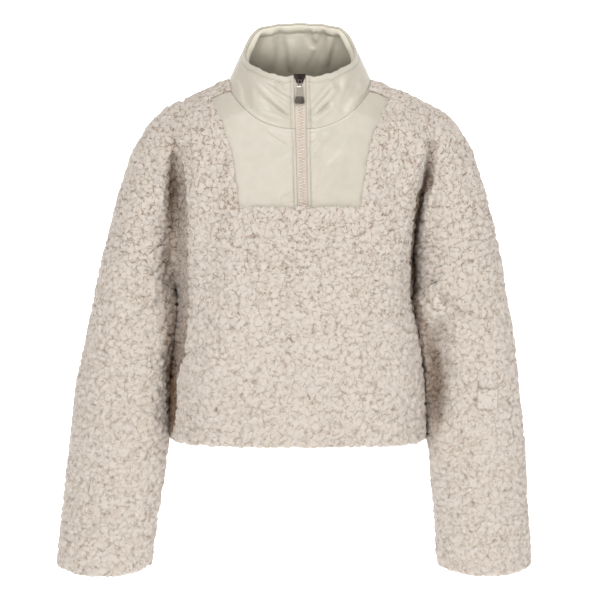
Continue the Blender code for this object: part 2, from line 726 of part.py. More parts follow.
def sleeve_points(side, down, turn):
    """Points of a sleeve: down runs from armhole to cuff, turn from the outside to the front."""
    down = np.asarray(down, float)
    turn = np.asarray(turn, float)
    facing = np.sin(turn) >= 0
    top_z = ARMHOLE_TOP_Z[side]
    under_x, under_z = ARM[side]["underarm"]
    outer_z = top_z + (CUFF_Z[side] - top_z) * down
    inner_z = under_z + (CUFF_Z[side] - under_z) * down
    outer_x = outline_x(outer_z, side)
    inner_x = smooth(SLEEVE_INNER, 0, SLEEVE_INNER_COLUMNS.index(side), inner_z)
    inner_x = np.where(down < 1e-6, under_x, inner_x)
    along = (1 - np.cos(turn)) / 2
    x = outer_x + (inner_x - outer_x) * along
    front = smooth(SLEEVE_DEPTH, 0, 1, down)
    back = smooth(SLEEVE_DEPTH, 0, 2, down)
    middle = smooth(SLEEVE_DEPTH, 0, 3, down)
    round_part = np.abs(np.sin(turn)) ** (2 / SLEEVE_SQUARE)
    deep = np.where(facing, front, back) * round_part
    fade = np.clip(1 - down / ARMHOLE_FADE, 0, 1) ** 2
    seam_x, seam_z = armhole_point(side, along)
    seam_front = body_depth(seam_x, seam_z, side, "front")
    seam_back = body_depth(seam_x, seam_z, side, "back")
    seam_deep = np.where(facing, seam_front, seam_back)
    first_deep = np.where(facing, SLEEVE_DEPTH[0][1], SLEEVE_DEPTH[0][2]) * round_part
    deep = deep + (seam_deep - first_deep) * fade
    z = outer_z + (inner_z - outer_z) * along
    z = z + (seam_z - (top_z + (under_z - top_z) * along)) * fade
    z = z - CUFF_FRONT_DROP * np.sin(turn) * round_part * np.clip(down, 0, 1) ** 3
    folds = np.where(facing, fold_depth(x, z, side, "front", SLEEVE_FOLDS),
                     fold_depth(x, z, side, "back", SLEEVE_FOLDS))
    deep = deep - folds * np.clip(deep / 30, 0, 1)
    y = middle + np.where(facing, -deep, deep)
    sign = -1 if side == "right" else 1
    return np.stack([sign * x, y, z], axis=-1)


def armhole_turns(side, face):
    """Turns at which the columns of a panel meet the armhole, from the outside to the underarm."""
    _, crease_z, edge = upper_rows(side, ())[-1]
    row = arm_half(side, face, crease_point(side, crease_z), edge, face == "back")[::-1]
    outer_x = outline_x(ARMHOLE_TOP_Z[side], side)
    along = (outer_x - np.abs(row[:, 0])) / (outer_x - ARM[side]["underarm"][0])
    return np.arccos(1 - 2 * np.clip(along, 0, 1))


def sleeve_grid(side):
    """Rings of a sleeve, with a narrow one at each end and the panels' columns."""
    length = ARMHOLE_TOP_Z[side] - CUFF_Z[side]
    rim = RIM_ROW / length
    gap = EDGE_GAP / length
    down = np.concatenate(([gap, gap + rim], np.linspace(0.045, 1 - rim * 3, SLEEVE_ROWS), [1 - rim, 1.0]))
    front = armhole_turns(side, "front")
    back = 2 * math.pi - armhole_turns(side, "back")[::-1]
    turn = np.concatenate([front, back[1:-1]])
    return sleeve_points(side, down[:, None], turn[None, :])


def badge_grid(side):
    """Square of the sleeve's front round the badge's place, moved out to lie on it."""
    near_down = np.linspace(0.3, 0.6, 121)
    near_turn = np.linspace(0.3, math.pi - 0.6, 121)
    surface = sleeve_points(side, near_down[:, None], near_turn[None, :])
    steps = np.linspace(-BADGE_HALF, BADGE_HALF, 5)
    grid = np.zeros((5, 5, 3))
    for r, rise in enumerate(-steps):
        for c, across in enumerate(steps):
            target = (BADGE_CENTRE[0] + across, BADGE_CENTRE[1] + rise)
            miss = np.hypot(surface[..., 0] - target[0], surface[..., 2] - target[1])
            grid[r, c] = surface[np.unravel_index(np.argmin(miss), miss.shape)]
            grid[r, c, 0] = target[0]
            grid[r, c, 2] = target[1]
    across_way = np.gradient(grid, axis=1)
    down_way = np.gradient(grid, axis=0)
    normal = np.cross(across_way, down_way)
    normal /= np.linalg.norm(normal, axis=-1, keepdims=True)
    normal *= -np.sign(normal[..., 1:2])
    return grid + normal * (BADGE_THICKNESS + 0.9)


# ---------------------------------------------------------------- yoke, collar and zip

def neck_point(turn, side="left", sink=SINK):
    """Neck seam, turn 0 at the zip, 0.5 on top of the shoulder and 1 at the back."""
    corner = shoulder_seam_point(side, 0.0)
    top_x, top_z = OUTLINE[side][0]
    if turn < NECK_CORNER_TURN:
        path = smooth_path(NECK_FRONT + (tuple(corner),), 80)
        x, z = along_path(path, turn / NECK_CORNER_TURN)
        return place(x, z, side, "front", sink)
    if turn < 0.5:
        t = math.sin((turn - NECK_CORNER_TURN) / (0.5 - NECK_CORNER_TURN) * math.pi / 2)
        x, z = corner + (np.array((top_x, top_z)) - corner) * t
        return place(x, z, side, "front", sink)
    t = (turn - 0.5) * 2
    x = top_x * math.cos(t * math.pi / 2)
    z = NECK_BACK_Z + (top_z - NECK_BACK_Z) * (x / top_x) ** 1.6
    return place(x, z, side, "back", sink)


def collar_grid(inset, behind_placket, base_lift):
    """Rows of the collar from its base to its rim, round from one side of the zip to the other."""
    turns = np.linspace(0, 1, COLLAR_COLUMNS // 2 + 1)
    base = np.array([neck_point(t) for t in turns])
    rim = np.column_stack([smooth(RIM, 0, c, turns) for c in (1, 2, 3)])
    rise = np.linspace(0, 1, COLLAR_ROWS + 1)[:, None, None]
    half = base[None] + (rim - base)[None] * rise
    along = np.gradient(base, axis=0)
    along /= np.linalg.norm(along, axis=-1, keepdims=True)
    lift = (rim - base) - along * np.sum((rim - base) * along, axis=-1, keepdims=True)
    lift /= np.linalg.norm(lift, axis=-1, keepdims=True)
    half = half + lift[None] * base_lift * (1 - rise)
    across = np.gradient(half, axis=1)
    up = np.gradient(half, axis=0)
    normal = np.cross(across, up)
    normal /= np.linalg.norm(normal, axis=-1, keepdims=True)
    normal[:, 0] = normal[:, 0] * (0, 1, 1)
    normal[:, -1] = normal[:, -1] * (0, 1, 1)
    normal /= np.linalg.norm(normal, axis=-1, keepdims=True)
    half = half - normal * inset
    mirror = half[:, ::-1] * (-1, 1, 1)
    whole = np.concatenate([mirror[:, ::-1], half[:, ::-1][:, 1:]], axis=1)
    rows = []
    for row in whole:
        middle = zip_x(float(row[0][2]))
        front_gap = zip_half_opening(float(row[0][2])) + behind_placket
        start = np.interp(front_gap - middle, -row[:8, 0], np.arange(8))
        end = np.interp(front_gap + middle, row[-8:, 0][::-1], np.arange(8)[::-1]) + len(row) - 8
        at = np.linspace(start, end, COLLAR_COLUMNS + 1)
        rows.append(np.stack([np.interp(at, np.arange(len(row)), row[:, c]) for c in range(3)], axis=-1))
    return np.array(rows)


def yoke_grid(side):
    """Rows of half the yoke, from the neck seam to its straight lower edge."""
    sign = -1 if side == "right" else 1
    gap = EDGE_GAP
    neck = smooth_path(NECK_FRONT + (tuple(shoulder_seam_point(side, 0.0)),), 80)
    outer_points = [shoulder_seam_point(side, e) for e in SHOULDER_EDGES]
    outer_points += [np.array((yoke_edge_x(z), z)) for z, _, _ in WING_ROWS[1:]]
    rows = []
    for v, outer in zip(np.linspace(0, 1, len(outer_points)), outer_points):
        inner_z = NECK_FRONT[0][1] + (YOKE_BOTTOM_Z - NECK_FRONT[0][1]) * v ** 1.1
        inner_x = ZIP_HALF_OPENING + sign * zip_x(inner_z)
        t = np.linspace(0, 1, 60)
        x = inner_x + (outer[0] - inner_x) * t
        z = inner_z + (outer[1] - inner_z) * t
        start = np.interp(inner_x, neck[:, 0], np.linspace(0, 1, len(neck)))
        bend = along_path(neck, start + (1 - start) * t)
        straight_z = bend[0, 1] + (bend[-1, 1] - bend[0, 1]) * (bend[:, 0] - bend[0, 0]) / np.ptp(bend[:, 0])
        drop = np.interp(x, bend[:, 0], bend[:, 1] - straight_z)
        fade = (1 - v) ** 2.2
        z = z + drop * fade
        row = resample(place(x, z, side, "front", SINK), YOKE_COLUMNS, (0, 1))
        rows.append(inset_ends(row, 0, gap))
    grid = np.array(rows)
    for end, near in ((0, 1), (-1, -2)):
        step = grid[near] - grid[end]
        grid[end] += step / np.linalg.norm(step, axis=-1, keepdims=True) * gap
    return grid


def zip_line(z, across, sink):
    """Point near the zip at a height, a distance across and sunk below the nylon's outer side."""
    z = float(z)
    seam = neck_point(0.0)
    top = np.array(RIM[0][1:], float)
    x = zip_x(z) + across
    if z > seam[2]:
        t = (z - seam[2]) / (top[2] - seam[2])
        y = seam[1] + (top[1] - seam[1]) * t
        slope = (top[1] - seam[1]) / (top[2] - seam[2])
    else:
        y = -(body_depth(0.0, z, "left", "front") - SINK)
        y_low = -(body_depth(0.0, z - 2, "left", "front") - SINK)
        slope = (y - y_low) / 2
    cosine = 1 / math.hypot(1, slope)
    return np.array((x, y + sink * cosine, z + sink * slope * cosine * -1))


def tape_grid(side):
    """Strip of zip tape behind the placket of one side."""
    sign = -1 if side == "right" else 1
    heights = np.linspace(ZIP_TOP[1] - 4, YOKE_BOTTOM_Z + 1.0, 15)
    across = (CHAIN_HALF_WIDTH + 0.4, ZIP_HALF_OPENING, TAPE_OUTER)
    return np.array([[zip_line(z, sign * a, NYLON + 0.7) for a in across] for z in heights])


def chain_grid():
    """Plain bar in place of the closed teeth, between the two tapes."""
    heights = np.linspace(CHAIN_TOP_Z, YOKE_BOTTOM_Z + 1.0, 14)
    across = (-CHAIN_HALF_WIDTH, 0.0, CHAIN_HALF_WIDTH)
    return np.array([[zip_line(z, a, NYLON) for a in across] for z in heights])


def zip_tilt():
    """Angle by which the front of the collar leans back from upright."""
    low = zip_line(0.0, 0.0, 0.0)
    high = zip_line(12.0, 0.0, 0.0)
    return math.atan2(high[1] - low[1], high[2] - low[2])


def slider_frame():
    """Placement at the slider's middle: local X across, local Y into the cloth, local Z up."""
    centre = zip_line(SLIDER_Z, 0.0, NYLON + 0.7)
    tilt = zip_tilt()
    return Matrix.Translation([c * MM for c in centre]) @ Matrix.Rotation(-tilt, 4, "X")


def shield_outline(points=6):
    """Half-shield corners of the slider's plate, wider at the top."""
    side = []
    for step in range(points + 1):
        t = step / points
        half = SLIDER_TOP_HALF + (SLIDER_BOTTOM_HALF - SLIDER_TOP_HALF) * t ** 1.3
        side.append((half, SLIDER_HALF_HEIGHT * (1 - 2 * t)))
    return side + [(-x, z) for x, z in reversed(side)]


def extrude_outline(outline, low, high):
    """Closed bmesh of an outline in local X and Z, between two local Y values."""
    work = bmesh.new()
    verts = [work.verts.new((x * MM, low * MM, z * MM)) for x, z in outline]
    face = work.faces.new(verts)
    grown = bmesh.ops.extrude_face_region(work, geom=[face])
    moved = [g for g in grown["geom"] if isinstance(g, bmesh.types.BMVert)]
    bmesh.ops.translate(work, verts=moved, vec=(0, (high - low) * MM, 0))
    bmesh.ops.recalc_face_normals(work, faces=work.faces)
    return work


def outline_object(name, outline, low, high, collection, material):
    mesh = bpy.data.meshes.new(name)
    work = extrude_outline(outline, low, high)
    work.to_mesh(mesh)
    work.free()
    return add_object(name, mesh, collection, material)


def box_outline(half_x, low_z, high_z):
    return [(half_x, high_z), (half_x, low_z), (-half_x, low_z), (-half_x, high_z)]


def join_pieces(item, cutters):
    """Unites further closed pieces with the item."""
    for cutter in cutters:
        cutter.display_type = "WIRE"
        cutter.hide_render = True
        union = item.modifiers.new("join", "BOOLEAN")
        union.operation = "UNION"
        union.solver = "EXACT"
        union.object = cutter


def add_slider(collection, guides, materials):
    """Two plates joined by a post between the tapes, with a bridge for the pull's link."""
    frame = slider_frame()
    metal = materials["gunmetal"]
    front = -0.4
    back = TAPE + 0.4
    slider = outline_object("zip_slider", shield_outline(), front - SLIDER_PLATE, front, collection, metal)
    rear = outline_object("slider_rear", shield_outline(), back, back + SLIDER_PLATE, guides, metal)
    post = outline_object("slider_post", box_outline(CHAIN_HALF_WIDTH - 0.4, -3.5, 5.0),
                          front - SLIDER_PLATE / 2, back + SLIDER_PLATE / 2, guides, metal)
    face = front - SLIDER_PLATE
    root = face + BRIDGE_ROOT
    crest = face - BRIDGE_RISE
    profile = [(root, BRIDGE_TOP_Z), (crest + BRIDGE_CORNER, BRIDGE_TOP_Z),
               (crest, BRIDGE_TOP_Z - BRIDGE_CORNER), (crest, BRIDGE_LOW_Z + BRIDGE_CORNER),
               (crest + BRIDGE_CORNER, BRIDGE_LOW_Z), (root, BRIDGE_LOW_Z),
               (root, BRIDGE_LOW_Z + BRIDGE_BAR), (crest + BRIDGE_BAR, BRIDGE_LOW_Z + BRIDGE_BAR),
               (crest + BRIDGE_BAR, BRIDGE_TOP_Z - BRIDGE_BAR), (root, BRIDGE_TOP_Z - BRIDGE_BAR)]
    mesh = bpy.data.meshes.new("slider_bridge")
    work = bmesh.new()
    verts = [work.verts.new((-BRIDGE_WIDTH / 2 * MM, y * MM, z * MM)) for y, z in profile]
    grown = bmesh.ops.extrude_face_region(work, geom=[work.faces.new(verts)])
    moved = [g for g in grown["geom"] if isinstance(g, bmesh.types.BMVert)]
    bmesh.ops.translate(work, verts=moved, vec=(BRIDGE_WIDTH * MM, 0, 0))
    bmesh.ops.recalc_face_normals(work, faces=work.faces)
    work.to_mesh(mesh)
    work.free()
    bridge = add_object("slider_bridge", mesh, guides, metal)
    for item in (slider, rear, post, bridge):
        item.matrix_world = frame
    join_pieces(slider, (rear, post, bridge))
    return face


def add_pull(face, collection, guides, materials):
    """Link through the slider's bridge with the flared tab below it. Its origin is the hinge."""
    metal = materials["gunmetal"]
    link_gap = face - (BRIDGE_RISE - BRIDGE_BAR) / 2
    hinge_z = BRIDGE_LOW_Z + BRIDGE_BAR + LINK_RADIUS + LINK_PLAY
    placement = slider_frame() @ Matrix.Translation((0, link_gap * MM, hinge_z * MM))
    tab_top = -LINK_LENGTH + TAB_OVERLAP
    tab_low = tab_top - TAB_LENGTH
    half = LINK_HALF_WIDTH
    curve = bpy.data.curves.new("link", "CURVE")
    curve.dimensions = "3D"
    curve.bevel_depth = LINK_RADIUS * MM
    curve.bevel_resolution = 1
    curve.resolution_u = 3
    spline = curve.splines.new("POLY")
    loop = [(-half, 0), (half, 0), (half, -LINK_LENGTH + LINK_CORNER), (half - LINK_CORNER, -LINK_LENGTH),
            (-half + LINK_CORNER, -LINK_LENGTH), (-half, -LINK_LENGTH + LINK_CORNER)]
    spline.points.add(len(loop) - 1)
    for point, (x, z) in zip(spline.points, loop):
        point.co = (x * MM, 0, z * MM, 1)
    spline.use_cyclic_u = True
    curve_item = bpy.data.objects.new("link", curve)
    guides.objects.link(curve_item)
    mesh = bpy.data.meshes.new_from_object(curve_item)
    bpy.data.objects.remove(curve_item, do_unlink=True)
    link = add_object("pull_link", mesh, guides, metal)
    side = [(TAB_TOP_HALF - 0.8, tab_top), (TAB_TOP_HALF, tab_top - 0.8)]
    side += [(TAB_TOP_HALF + 0.3, tab_top - TAB_LENGTH * 0.45)]
    side += [(TAB_BOTTOM_HALF, tab_low + TAB_CORNER),
             (TAB_BOTTOM_HALF - TAB_CORNER * 0.3, tab_low + TAB_CORNER * 0.3),
             (TAB_BOTTOM_HALF - TAB_CORNER, tab_low)]
    outline = side + [(-x, z) for x, z in reversed(side)]
    tab = outline_object("pull_tab", outline, -TAB_THICKNESS / 2, TAB_THICKNESS / 2, collection, metal)
    for item in (tab, link):
        item.matrix_world = placement
    join_pieces(tab, (link,))
    return placement


# ---------------------------------------------------------------- the pullover

def build():
    clear_scene()
    pieces = bpy.data.collections.new("sherpa_pullover")
    guides = bpy.data.collections.new("guides")
    bpy.context.scene.collection.children.link(pieces)
    bpy.context.scene.collection.children.link(guides)
    materials = {name: make_material(name) for name in COLOURS}

    wing_rows = len(WING_ROWS)
    front = front_grid()
    first = TRUNK_COLUMNS_WING + ARM_COLUMNS
    last = front.shape[1] - 1 - first
    arm_end = len(WING_ROWS + ARM_ROWS)
    item = add_shell("front_panel", front, FLEECE, pieces, materials["fleece"], from_axis(),
              skip=lambda r, c: (r < wing_rows and first <= c < last
                                 or r >= arm_end and (c < ARM_COLUMNS
                                                      or c >= front.shape[1] - 1 - ARM_COLUMNS)))
    trim_side_seam(item, 1, guides)
    back = back_grid()
    back_end = len(BACK_ROWS + ARM_ROWS) - 1
    item = add_shell("back_panel", back, FLEECE, pieces, materials["fleece"], from_axis(),
              skip=lambda r, c: r >= back_end and (c < ARM_COLUMNS
                                                   or c >= back.shape[1] - 1 - ARM_COLUMNS))
    trim_side_seam(item, -1, guides)
    for side in ("right", "left"):
        add_shell("sleeve_" + side, sleeve_grid(side), FLEECE, pieces, materials["fleece"],
                  from_axis(SLEEVE_MIDDLE_X[side]), ring=True)
        add_shell("yoke_" + side, yoke_grid(side), NYLON, pieces, materials["nylon"], from_axis())
        add_shell("zip_tape_" + side, tape_grid(side), TAPE, pieces, materials["tape"], from_axis())
    add_shell("collar", collar_grid(0.0, 0.0, COLLAR_LIFT), NYLON, pieces,
              materials["nylon"], from_axis())
    add_shell("collar_lining", collar_grid(NYLON + COLLAR_PADDING, LINING_SETBACK, LINING_LIFT),
              LINING, pieces, materials["nylon_inside"], from_axis())
    add_shell("zip_chain", chain_grid(), CHAIN_DEPTH, pieces, materials["tape"], from_axis())
    add_shell("sleeve_badge", badge_grid("left"), BADGE_THICKNESS, pieces, materials["badge"],
              from_axis())
    face = add_slider(pieces, guides, materials)
    add_pull(face, pieces, guides, materials)


build()
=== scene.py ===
import math

import bpy
import numpy as np
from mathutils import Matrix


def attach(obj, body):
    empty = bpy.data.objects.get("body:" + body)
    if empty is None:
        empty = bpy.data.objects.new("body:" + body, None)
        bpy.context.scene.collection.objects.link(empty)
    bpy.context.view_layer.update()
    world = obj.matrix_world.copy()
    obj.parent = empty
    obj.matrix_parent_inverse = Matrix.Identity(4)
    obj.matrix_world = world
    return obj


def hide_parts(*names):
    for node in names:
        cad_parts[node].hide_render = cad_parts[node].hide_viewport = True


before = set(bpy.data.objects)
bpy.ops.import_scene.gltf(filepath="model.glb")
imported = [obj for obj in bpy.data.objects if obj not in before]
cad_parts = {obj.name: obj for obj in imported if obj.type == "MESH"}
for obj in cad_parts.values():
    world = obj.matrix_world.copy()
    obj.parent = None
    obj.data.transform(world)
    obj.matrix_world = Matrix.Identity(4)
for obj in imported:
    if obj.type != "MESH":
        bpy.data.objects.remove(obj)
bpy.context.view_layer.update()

# The tables are in millimetres. Right and left are the wearer's, so the right side is at -X, and
# the front faces -Y. Heights run down from the neck at 0 to the cuffs.
mm = 0.001
sideSign = {"right": -1, "left": 1}
faceSign = {"front": -1, "back": 1}
sideColumn = {"right": 1, "left": 2}

outline = {
    "right": ((101, 10.5), (113, 6.5), (128, -1), (145, -9), (164, -18), (184, -28), (206, -47),
              (222, -70), (235, -93), (247, -130), (256, -158), (264, -194), (272, -223),
              (280, -252), (286, -284), (297, -340), (314, -420), (322, -495), (327, -535),
              (331, -580), (337, -631), (341, -680)),
    "left": ((101, 10.5), (113, 6.5), (128, -1), (148, -8), (168, -18), (186, -27), (204, -39),
             (220, -56), (237, -84), (251, -124), (260, -152), (268, -182), (275, -214),
             (282, -247), (287, -283), (292, -308), (299, -346), (303, -388), (308, -437),
             (312, -473), (315, -505), (318, -579), (321, -628), (324, -680)),
}
# z, front, back, right, left, square
trunk = (
    (20, 72, 66, 236, 236, 2.6),
    (-10, 78, 76, 236, 236, 2.6),
    (-58, 90, 95, 232, 230, 2.6),
    (-110, 107, 104, 216, 210, 2.6),
    (-150, 116, 107, 202, 192, 2.8),
    (-200, 123, 108, 189, 174, 3.1),
    (-250, 127, 107, 178, 162, 3.5),
    (-290, 127, 105, 171, 157, 3.8),
    (-350, 126, 103, 177, 168, 4.0),
    (-420, 125, 102, 181, 175, 4.0),
    (-500, 125, 102, 183, 178, 4.0),
)
trunkColumn = {"front": 1, "back": 2, "right": 3, "left": 4, "square": 5}
body = {
    "hemZ": -486.0, "cuffZ": {"right": -663.0, "left": -662.0}, "shoulderRound": 90.0,
    "underarmRound": 14.0, "creaseBlend": 40.0, "armholeTopZ": {"right": -251.0, "left": -231.0},
    "seamShift": 16.0, "yokeBottomZ": -166.0, "nylonSink": 3.0, "wall": 4.5, "creaseScale": 5.0,
    "innerRise": 14, "armRowsFrom": 95, "seamLength": 330.0,
}
arms = {
    "right": {"radius": 55.0, "depth": 58.0, "underarm": (174.0, -284.0)},
    "left": {"radius": 62.0, "depth": 62.0, "underarm": (160.0, -290.0)},
}
armhole = {
    "right": ((0.0, 0.0), (0.25, -0.16), (0.45, -0.10), (0.65, 0.15), (0.85, 0.58), (1.0, 1.0)),
    "left": ((0.0, 0.0), (0.2, 0.09), (0.38, 0.2), (0.56, 0.35), (0.67, 0.49), (0.85, 0.78), (1.0, 1.0)),
}
yokeEdge = ((121, -14), (112, -40), (103, -64), (96, -87), (90, -117), (86, -148), (84, -166))
neckFront = ((0, -58), (17, -57.5), (34, -54.5), (57, -45), (76, -30), (90, -14))
creaseLine = ((-20, 162, 166), (-55, 168, 176), (-90, 172, 180), (-125, 175, 177), (-160, 178, 170),
              (-205, 180, 163), (-250, 178, 159), (-284, 174, 159.9), (-290, 173.6, 160))
# inner z, crease z and edge of each section, as the panels are laid out
wingRows = ((-14, -38, 0.34), (-48, -75, 0.44), (-82, -106, 0.53), (-112, -132, 0.61),
            (-138, -155, 0.68), (-163.5, -178, 0.75), (-166, -180, 0.76))
backRows = ((-6, -14, 0.0), (-8, -15.5, 0.012), (-13, -18, 0.05), (-20, -24, 0.1), (-28, -30, 0.16),
            (-36, -38, 0.22), (-45, -48, 0.28), (-54, -58, 0.34), (-76, -81, 0.44),
            (-98, -106, 0.53), (-120, -131, 0.61), (-142, -155, 0.68), (-164, -179, 0.755))
armRows = ((88, 0.83), (67, 0.885), (47, 0.925), (29, 0.955), (15, 0.972), (6, 0.985), (0, 1.0))

# Folds of each face: paths of (x, z, width, depth) as seen from the front. The deep narrow ones lie
# in the clefts before the arms, and smaller ones run into them.
trunkFolds = {
    "right": {
        "front": (
            ((163, -88, 13, 12), (181, -200, 15, 12), (178, -262, 15, 12)),
            ((114, -120, 18, 5), (124, -300, 18, 5), (142, -390, 16, 4)),
            ((172, -70, 7, 0), (174, -105, 8, 14), (173, -140, 9, 24), (170, -190, 10, 22),
             (166, -225, 9, 18), (163, -262, 8, 14), (163, -310, 8, 12), (167, -350, 8, 12),
             (171, -378, 7, 18), (175, -394, 6, 16), (178, -415, 5, 4)),
            ((150, -60, 8, 0), (158, -110, 9, 4), (160, -170, 9, 5), (154, -230, 8, 0)),
            ((206, -120, 9, 0), (200, -170, 9, 4), (203, -225, 8, 0)),
            ((140, -252, 8, 0), (120, -285, 9, 3), (96, -296, 9, 0)),
            ((150, -300, 8, 3), (128, -330, 9, 2.5), (100, -350, 9, 0)),
            ((60, -420, 14, 0), (84, -455, 14, 2.5), (96, -490, 12, 3)),
        ),
        "back": (
            ((166, -100, 15, 13), (176, -250, 15, 13)),
            ((70, -60, 22, 5), (96, -260, 22, 5)),
            ((178, -120, 7, 0), (182, -200, 7, 18), (180, -270, 8, 20)),
            ((150, -230, 9, 3), (110, -262, 10, 4), (60, -270, 10, 0)),
            ((152, -290, 9, 3), (118, -330, 10, 3.5), (70, -352, 10, 0)),
            ((100, -400, 14, 0), (112, -450, 13, 3), (116, -490, 12, 3)),
        ),
    },
    "left": {
        "front": (
            ((180, -84, 10, 12), (164, -150, 10, 12), (157, -240, 9, 12)),
            ((128, -70, 13, 4), (112, -160, 13, 4)),
            ((92, -210, 20, 4), (116, -400, 20, 4)),
            ((182, -60, 7, 0), (181, -95, 6, 8), (173, -130, 6, 20), (163, -180, 5, 28), (157, -235, 5, 30),
             (158, -290, 5, 20), (163, -330, 5, 0)),
            ((146, -50, 8, 0), (140, -100, 9, 5), (132, -150, 9, 4), (128, -200, 8, 0)),
            ((196, -118, 9, 0), (186, -160, 9, 5), (184, -220, 8, 0)),
            ((140, -235, 8, 0), (118, -262, 9, 3), (92, -276, 9, 0)),
            ((142, -300, 8, 3), (120, -326, 9, 2), (88, -336, 9, 0)),
            ((44, -410, 14, 0), (58, -450, 14, 2.5), (62, -490, 12, 3)),
        ),
        "back": (
            ((172, -96, 13, 13), (162, -250, 13, 13)),
            ((62, -90, 22, 5), (104, -330, 22, 5)),
            ((176, -110, 7, 0), (168, -190, 7, 18), (163, -280, 8, 20)),
            ((140, -215, 9, 3), (104, -250, 10, 4), (56, -262, 10, 0)),
            ((142, -300, 9, 3), (112, -336, 10, 3), (66, -360, 10, 0)),
            ((60, -400, 14, 0), (70, -448, 13, 3), (72, -490, 12, 3)),
        ),
    },
}
sleeveFolds = {
    "right": {
        "front": (
            ((300, -372, 14, 4), (226, -392, 14, 4)),
            ((312, -440, 15, 4), (240, -470, 15, 4)),
            ((196, -300, 8, 8), (230, -322, 9, 4), (268, -330, 9, 0)),
            ((204, -346, 8, 5), (236, -356, 9, 3), (262, -352, 8, 0)),
            ((300, -300, 8, 0), (276, -326, 9, 3), (252, -366, 9, 0)),
            ((204, -410, 8, 4), (234, -430, 9, 3.5), (270, -432, 9, 0)),
            ((316, -500, 9, 0), (290, -512, 9, 3), (250, -506, 9, 0)),
            ((212, -520, 9, 3), (240, -544, 9, 3), (268, -546, 8, 0)),
            ((322, -590, 9, 0), (296, -602, 10, 2.5), (256, -596, 9, 0)),
        ),
        "back": (
            ((206, -350, 15, 6), (280, -380, 15, 6)),
            ((220, -440, 15, 5), (300, -462, 15, 5)),
            ((200, -306, 9, 7), (240, -330, 9, 4), (276, -334, 9, 0)),
            ((210, -400, 9, 4), (246, -412, 9, 3), (280, -404, 9, 0)),
            ((216, -520, 9, 3), (252, -540, 9, 3), (300, -536, 9, 0)),
            ((222, -590, 9, 0), (262, -604, 9, 3), (310, -596, 9, 0)),
        ),
    },
    "left": {
        "front": (
            ((190, -338, 14, 24), (189, -455, 14, 24)),
            ((200, -322, 12, 5), (262, -300, 12, 5)),
            ((196, -296, 8, 8), (222, -312, 9, 4), (250, -316, 9, 0)),
            ((212, -352, 8, 5), (240, -372, 9, 3), (272, -372, 9, 0)),
            ((206, -400, 8, 5), (228, -410, 9, 3), (246, -406, 9, 0)),
            ((204, -470, 8, 5), (232, -486, 9, 3.5), (270, -482, 9, 0)),
            ((308, -508, 9, 0), (282, -522, 9, 3), (240, -520, 9, 0)),
            ((204, -548, 9, 3), (232, -566, 9, 3), (262, -566, 8, 0)),
            ((312, -604, 9, 0), (286, -616, 10, 2.5), (246, -610, 9, 0)),
        ),
        "back": (
            ((196, -350, 15, 6), (270, -384, 15, 6)),
            ((206, -452, 15, 5), (284, -470, 15, 5)),
            ((192, -306, 9, 7), (232, -326, 9, 4), (268, -330, 9, 0)),
            ((202, -410, 9, 4), (240, -424, 9, 3), (276, -420, 9, 0)),
            ((204, -530, 9, 3), (246, -548, 9, 3), (290, -540, 9, 0)),
            ((206, -596, 9, 0), (250, -610, 9, 3), (296, -602, 9, 0)),
        ),
    },
}


# Values of a line with soft sides: exp(-(distance / width) squared).
def softLine(away, width):
    return np.exp(-(away / width) ** 2)


# Vectors made 1 long, each divided by its length. tiny keeps a zero vector from failing.
def unit(vectors, tiny=0.0):
    return vectors / (np.linalg.norm(vectors, axis=-1, keepdims=True) + tiny)


# Length from the start of a path to each of its points: the sum of the steps so far.
def runLengths(path):
    return np.concatenate(([0], np.cumsum(np.linalg.norm(np.diff(path, axis=0), axis=1))))


# Points of a path at given keys, straight between the ones it has.
def readPoints(at, keys, points):
    return np.stack([np.interp(at, keys, points[:, c]) for c in range(points.shape[1])], axis=-1)


# Value of one table column at a key, through a smooth curve that doesn't overshoot its rows.
def readTable(rows, key, value, at):
    rows = np.array(rows, float)
    rows = rows[np.argsort(rows[:, key])]
    keys, values = rows[:, key], rows[:, value]
    slopes = np.diff(values) / np.diff(keys)
    steep = np.zeros(len(keys))
    steep[0], steep[-1] = slopes[0], slopes[-1]
    sameWay = slopes[:-1] * slopes[1:] > 0
    harmonic = 2 * slopes[:-1] * slopes[1:] / np.where(sameWay, slopes[:-1] + slopes[1:], 1)
    steep[1:-1] = np.where(sameWay, harmonic, 0)
    at = np.clip(np.asarray(at, float), keys[0], keys[-1])
    cell = np.clip(np.searchsorted(keys, at, side="right") - 1, 0, len(keys) - 2)
    width = keys[cell + 1] - keys[cell]
    t = (at - keys[cell]) / width
    low = (1 + 2 * t) * (1 - t) ** 2 * values[cell] + t * (1 - t) ** 2 * width * steep[cell]
    high = t * t * (3 - 2 * t) * values[cell + 1] + t * t * (t - 1) * width * steep[cell + 1]
    return low + high


# Points evenly spaced by chord length on a smooth curve through the given ones.
def smoothPath(points, count):
    points = np.array(points, float)
    chords = np.linalg.norm(np.diff(points, axis=0), axis=1)
    fraction = np.concatenate(([0], np.cumsum(chords))) / chords.sum()
    at = np.linspace(0, 1, count)
    return np.stack([readTable(np.column_stack((fraction, points[:, c])), 0, 1, at)
                     for c in range(points.shape[1])], axis=-1)


# Point at a fraction of a path's length.
def alongPath(path, at):
    lengths = runLengths(path)
    return readPoints(np.asarray(at, float) * lengths[-1], lengths, path)


# Each row of points cut into equal lengths.
def evenRows(rows, columns):
    steps = np.linalg.norm(np.diff(rows, axis=1), axis=2)
    lengths = np.concatenate((np.zeros((len(rows), 1)), np.cumsum(steps, axis=1)), axis=1)
    at = np.linspace(0, 1, columns + 1)
    return np.array([[np.interp(at * run[-1], run, row[:, c]) for c in range(rows.shape[2])]
                     for row, run in zip(rows, lengths)]).transpose(0, 2, 1)


